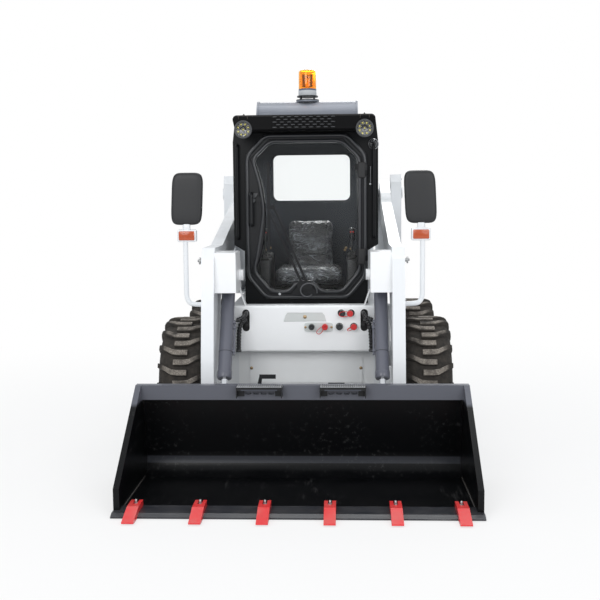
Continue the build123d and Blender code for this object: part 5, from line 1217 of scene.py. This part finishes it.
def bucketDetail():
    b = bucket
    lean = math.atan2(b["heelY"] - b["topY"], b["topZ"] - 0.003)

    def backY(z):
        return edgeY + b["heelY"] - math.tan(lean) * (z - 0.003) - b["plate"] / math.cos(lean)
    # The inside corner of floor and back is an arc that touches both
    reach = b["corner"] * math.tan((np.pi / 2 - lean) / 2)
    arcY, arcZ = backY(b["floorZ"]) - reach, b["floorZ"] + b["corner"]
    turn = np.linspace(-np.pi / 2, lean, 14)
    arc = np.stack([arcY + b["corner"] * np.cos(turn), arcZ + b["corner"] * np.sin(turn)], -1)
    line = [(edgeY + 0.16, b["floorZ"])] + arc.tolist() + [(backY(b["lipZ"]), b["lipZ"])]
    beads = [bead([(s * b["innerHalf"], y, z) for y, z in line]) for s in (-1, 1)]
    beads.append(bead([(-0.9, edgeY + 0.1515, 0.0145), (0.9, edgeY + 0.1515, 0.0145)], 0.0038))
    addMesh("bucketWelds", beads, weldSteel, "bucket")
    # Upright bolts in the forks: washer, nut and the bolt's end
    xs = (np.arange(b["teeth"]) - (b["teeth"] - 1) / 2) * b["pitch"]
    stud = mm(0, 1, 0, 6.8, 12, 6.8, 13, 10.5, 24, 10.5, 25.5, 6.8, 39, 6.8, 42, 5, 42, 1)
    bolts = boltShapes([(x, edgeY + b["boltY"], 0.0232) for x in xs], upward, 0.0125)
    bolts += [latheShape(stud, (x, edgeY + b["boltY"], 0.0235), upward, 14) for x in xs]
    addSolid("toothBolts", bolts, boltSteel, "bucket")
    # Serrated strips: a row of pointed teeth along each long edge of both steps, and slots between them
    strips, slots, top = [], [], b["topZ"]
    front, half = edgeY + b["stepFront"], b["slotHalf"]
    points = 2 * b["serrations"] + 1
    for s in (-1, 1):
        low, high = sorted(s * x for x in b["stepAcross"])
        low, high = low + 0.003, high - 0.003
        zs = top + np.where(np.arange(points) % 2, 0.0065, 0.0012)
        outline = np.concatenate([np.stack([np.linspace(low, high, points), zs], -1),
                                  [[high, top - 0.001], [low, top - 0.001]]])
        strips += [plateShape(outline, y, y + 0.0035)
                   for y in (front + 0.0005, front + 0.03, edgeY + b["stepBack"] - 0.006)]
        for x in s * (b["stepAcross"][0] + 0.032 + np.arange(b["slots"]) * b["slotPitch"]):
            slots += [roundBoxShape((x - half, front + near, top - 0.001),
                                    (x + half, front + far, top + 0.0007), 0.0008, 2)
                      for near, far in ((0.0085, 0.0265), (0.037, 0.053))]
    addSolid("stepTeeth", strips, wornSteel, "bucket", smooth=False)
    # The slots are near-black pieces of painted shade where the steps are cut through
    addMesh("stepSlots", slots, holeShade, "bucket")


bucketDetail()
print("bucket done")


# Door and cab: ribs, washer hose, hinge covers, latch, pillar caps and bars, lamp guards, painted glints in
# the visor's mesh

cabFitting = {"tubeY": 1.4945, "faceY": 1.486, "tubeRadius": 0.0125, "plugX": -0.172, "plugZ": 0.985,
              "outer": mm(-260, 964, 268, 964, 380, 1100, 380, 1870, 268, 1996, -260, 1996, -372, 1870,
                          -372, 1100),
              "inner": mm(-112, 998, -66, 1058, 48, 1058, 94, 998, 234, 998, 346, 1131, 346, 1850, 234,
                          1962, -226, 1962, -338, 1850, -294, 1700, -268, 1520, -294, 1330, -338, 1131,
                          -226, 998),
              "latch": mm(-365, 1635, -303, 1635, -310, 1615, -330, 1601, -357, 1613),
              "capX": 0.433, "capZ": 1.938, "pillarY": 1.52, "barX": 0.443, "hingeZ": (1.775, 1.224),
              "visorY": 1.31, "roofZ": 2.112, "meshZ": 2.069, "meshRows": 5, "meshColumns": 9,
              "meshPitch": (0.045, 0.016)}


# A closed outline with its corners rounded: each corner gives way to a quadratic curve between the points a
# little way before and after it
def roundedLoop(outline, y, reach=0.045, steps=7):
    outline = np.asarray(outline, float)
    share = np.linspace(0, 1, steps)[:, None]
    made = []
    for index, turning in enumerate(outline):
        before, after = outline[index - 1] - turning, outline[(index + 1) % len(outline)] - turning
        start, end = (turning + way / np.linalg.norm(way) * min(reach, np.linalg.norm(way) * 0.45)
                      for way in (before, after))
        made.append(curveBetween(start, turning, end, share))
    flat = np.concatenate(made)
    return np.stack([flat[:, 0], np.full(len(flat), edgeY + y), flat[:, 1]], -1)


def doorDetail():
    c = cabFitting
    y = edgeY + c["faceY"]
    loop = [(0.07, y - 0.002, 0.99), (0.072, y - 0.012, 1.012), (0.05, y - 0.022, 1.05),
            (0.008, y - 0.026, 1.06), (-0.034, y - 0.022, 1.034), (-0.036, y - 0.018, 0.99),
            (-0.004, y - 0.016, 0.966), (0.028, y - 0.01, 0.972), (0.036, y - 0.001, 0.98)]
    addMesh("washerHose", tubeShape(evenly(splinePoints(loop), 0.004)[0], 0.0042, 12), greyHose, "cab_door")
    # Tubular ribs round the door and round its window
    for name, outline in (("doorTubeOuter", c["outer"]), ("doorTubeInner", c["inner"])):
        tube = tubeShape(roundedLoop(outline, c["tubeY"]), c["tubeRadius"], 14, closed=True)
        addMesh(name, tube, tubePaint, "cab_door")
    plug = mm(-1, 1, -1, 8.5, 3.5, 7.8, 5, 4, 5.2, 1)
    addMesh("washerPlug", latheShape(plug, (c["plugX"], y, c["plugZ"]), ahead, 24), greyPlastic, "cab_door")
    # Soft covers over the two hinges, the latch's plate with its barrel
    covers = [roundBoxShape((0.333, y - 0.02, z - 0.051), (0.384, y + 0.002, z + 0.051), 0.017, 5)
              for z in c["hingeZ"]]
    addMesh("hingeCovers", covers, rubberSeal, "cab_door")
    latch = plateShape(c["latch"], y - 0.006, y + 0.001)
    softenEdges(addSolid("latchPlate", latch, lampShell, "cab_door", smooth=False), 0.0015)
    lock = mm(-2, 1, -2, 12.5, 4, 12, 7, 9, 7, 6, 4.5, 5, 4.5, 1)
    addSolid("lockBarrel", latheShape(lock, (-0.333, y, 1.588), ahead, 32), greyHose, "cab_door")


def cabDetail():
    c = cabFitting
    # Pillar cap: a black dome with two thin bright rings and a bright middle
    pillar = edgeY + c["pillarY"]
    front = (c["capX"], pillar, c["capZ"])
    dome = mm(-1, 1, -1, 34, 4, 35.5, 9, 33, 11, 26, 9, 22, 13, 13, 13.8, 1)
    rings = [latheShape(mm(-1.6, 0, 0, 1.6, 1.6, 0, 0, -1.6) + (d, r), front, ahead, 48)
             for d, r in ((0.0095, 0.0325), (0.0105, 0.0205))]
    middle = latheShape(mm(12, 1, 12, 7, 14.5, 6, 16, 1), front, ahead, 20)
    # Thin bars down the pillars, a hinge pin's bar with a white button under it
    bars = [roundBoxShape((x - 0.0035, pillar - 0.007, 1.47), (x + 0.0035, pillar + 0.002, 1.872), 0.003)
            for x in (-c["barX"], c["barX"])]
    bars.append(roundBoxShape((0.413, pillar - 0.009, 1.698), (0.419, pillar + 0.002, 1.8), 0.003))
    button = latheShape(mm(-2, 1, -2, 6.8, 6, 6, 8, 1), (0.414, pillar, 1.687), ahead, 20)
    # Wire guards over the work lamps, with a pin on the visor's top above each
    face = edgeY + c["visorY"]
    pin = mm(-4, 1, -4, 6, 4, 6, 11, 2, 12, 0.5)
    wire = [(0.028, 0.002, 2.088), (0.028, -0.006, 2.09), (0.027, -0.008, 2.106), (0.02, -0.008, 2.109)]
    guards, pins = [], []
    for side, sign in sides:
        x = sign * lamp["lampX"]
        guard = [(x - dx, face + dy, z) for dx, dy, z in wire]
        guard += [(x + dx, face + dy, z) for dx, dy, z in wire[::-1]]
        guards.append(tubeShape(evenly(splinePoints(guard), 0.003)[0], 0.002, 10))
        pins.append(latheShape(pin, (x, edgeY + 1.36, c["roofZ"]), upward, 16))
    # Painted glints: light grey pieces on the lower edge of each opening of the visor's mesh, standing in
    # for the light that the mesh catches there
    rows, columns, (pitchX, pitchZ) = c["meshRows"], c["meshColumns"], c["meshPitch"]
    glint = np.array([(-0.014, -0.0006), (-0.0115, -0.0038), (0.0115, -0.0038), (0.014, -0.0006),
                      (0.006, 0.0012), (-0.006, 0.0012)])
    glints = [plateShape(glint + ((column - (columns - 1) / 2 + row % 2 / 2) * pitchX,
                                  c["meshZ"] + (row - (rows - 1) / 2) * pitchZ), face + 0.004, face + 0.006)
              for row in range(rows) for column in range(columns - row % 2)]
    tab = roundBoxShape((-0.352, edgeY + 1.853, 2.128), (-0.318, edgeY + 1.9, 2.152), 0.004)
    addSolid("pillarCap", latheShape(dome, front, ahead, 48), glossPlastic, "chassis")
    addSolid("pillarRings", rings + [middle], chromeRod, "chassis")
    addMesh("pillarBars", bars, barSteel, "chassis")
    addSolid("pillarButton", button, greyPlastic, "chassis")
    addMesh("lampGuards", guards, guardWire, "chassis")
    addSolid("visorPins", pins, glossPlastic, "chassis")
    addMesh("visorPaintedGlints", glints, paintedMeshGlint, "chassis", smooth=False)
    addMesh("roofTab", tab, blackPlastic, "chassis")


doorDetail()
cabDetail()
print("cab done")


# Tilt cylinders: a joint line round each barrel and the collar of its gland, set along the axis

cylinder = {"x": 0.467, "topPin": (1.24, 1.13), "eyePin": (0.85, 0.425), "radius": 0.041, "seam": 0.508,
            "gland": (0.632, 0.6738)}


def cylinderRings():
    c = cylinder
    top, eye = (np.array([0, edgeY + y, z]) for y, z in (c["topPin"], c["eyePin"]))
    axis = (eye - top) / np.linalg.norm(eye - top)
    r, (start, end) = c["radius"], c["gland"]
    line = mm(-2, -2, -1.2, 1.2, 1.2, 1.2, 2, -2) + (0, r)
    collar = [(start, r - 0.004), (start, r + 0.0016), (start + 0.003, r + 0.0028),
              (end - 0.006, r + 0.0028), (end, r - 0.0005), (end, r - 0.004)]
    for side, sign in sides:
        base = top + (sign * c["x"], 0, 0)
        seam = latheShape(line, base + axis * c["seam"], axis, 64)
        gland = latheShape(collar, base, axis, 64)
        addSolid(f"barrelSeam_{side}", seam, rubberSeal, f"tilt_barrel_{side}")
        addSolid(f"barrelGland_{side}", gland, slatePaint, f"tilt_barrel_{side}")


cylinderRings()
print("cylinders done")


# Camera, lights and floor

camera = {"x": 0.236, "ahead": 4.4919, "height": 1.5906, "pitch": 0.1074, "yaw": -0.0463, "roll": -0.0093,
          "focal": 930.4721, "pixels": 600, "sensor": 36.0}
# The floor fades to white with the distance from the middle; lamps are (name, place, size, power)
stage = {"floorHalf": 40.0, "floor": (0.8, 0.8, 0.8), "fade": (1.2, 5.0, 0.62, 1.0),
         "skyColor": (0.94, 0.97, 1.0, 1), "skyStrength": 0.75, "aim": (0, 0, 1.0),
         "lamps": (("keyLamp", (-2.4, -6.4, 3.6), 3.4, 108), ("fillLamp", (3.0, -6.2, 3.0), 3.4, 74),
                   ("topLamp", (0.3, 0.5, 6.5), 4.0, 100), ("backLamp", (0.5, 6.0, 4.5), 3.0, 110))}


def photoCamera():
    c = camera
    forward = Vector((math.sin(c["yaw"]) * math.cos(c["pitch"]), math.cos(c["yaw"]) * math.cos(c["pitch"]),
                      -math.sin(c["pitch"])))
    right = Vector((math.cos(c["yaw"]), -math.sin(c["yaw"]), 0))
    up = right.cross(forward)
    right, up = (right * math.cos(c["roll"]) + up * math.sin(c["roll"]),
                 -right * math.sin(c["roll"]) + up * math.cos(c["roll"]))
    turn = Matrix((right, up, -forward)).transposed().to_4x4()
    data = bpy.data.cameras.new("photoCamera")
    data.sensor_width, data.lens = c["sensor"], c["focal"] / c["pixels"] * c["sensor"]
    data.clip_end = 100
    shot = bpy.data.objects.new("photoCamera", data)
    shot.matrix_world = Matrix.Translation((c["x"], edgeY - c["ahead"], c["height"])) @ turn
    bpy.context.scene.collection.objects.link(shot)
    bpy.context.scene.camera = shot


# 1 for what the camera sees, also through glass
def seenDirectly(net):
    path = net.add("LightPath")
    return net.math("MAXIMUM", path.outputs["Is Camera Ray"], path.outputs["Is Transmission Ray"])


# Floor and backdrop: pale, lit as a plain floor, seen as near white
def floorAndWorld():
    material, net, shader = newMaterial("paleFloor", stage["floor"], 0.9)
    shader.inputs["Specular IOR Level"].default_value = 0.1
    away = net.add("VectorMath", operation="LENGTH")
    net.join(net.place(), away.inputs[0])
    fade = net.ramp(away.outputs["Value"], *stage["fade"], interpolation_type="SMOOTHSTEP")
    net.surface(net.times(seenDirectly(net), fade), shader, net.add("Emission"),
                material.node_tree.nodes["Material Output"])
    size = stage["floorHalf"]
    mesh = bpy.data.meshes.new("floor")
    mesh.from_pydata([(-size, -size, 0), (size, -size, 0), (size, size, 0), (-size, size, 0)], [],
                     [[0, 1, 2, 3]])
    mesh.materials.append(material)
    floor = bpy.data.objects.new("floor", mesh)
    bpy.context.scene.collection.objects.link(floor)
    world = bpy.data.worlds.new("paleRoom")
    bpy.context.scene.world = world
    world.use_nodes = True
    world.node_tree.nodes.clear()
    net = Net(world.node_tree)
    light = net.add("Background", Color=stage["skyColor"], Strength=stage["skyStrength"])
    net.surface(seenDirectly(net), light, net.add("Background", Color=(1, 1, 1, 1)), net.add("OutputWorld"))


def lights():
    for name, place, size, power in stage["lamps"]:
        data = bpy.data.lights.new(name, "AREA")
        data.shape, data.size, data.energy = "DISK", size, power
        light = bpy.data.objects.new(name, data)
        aim = Vector(stage["aim"]) - Vector(place)
        light.matrix_world = Matrix.Translation(place) @ aim.to_track_quat("-Z", "Y").to_matrix().to_4x4()
        bpy.context.scene.collection.objects.link(light)
    bpy.context.scene.view_settings.view_transform = "Standard"


photoCamera()
floorAndWorld()
lights()
print("stage done")
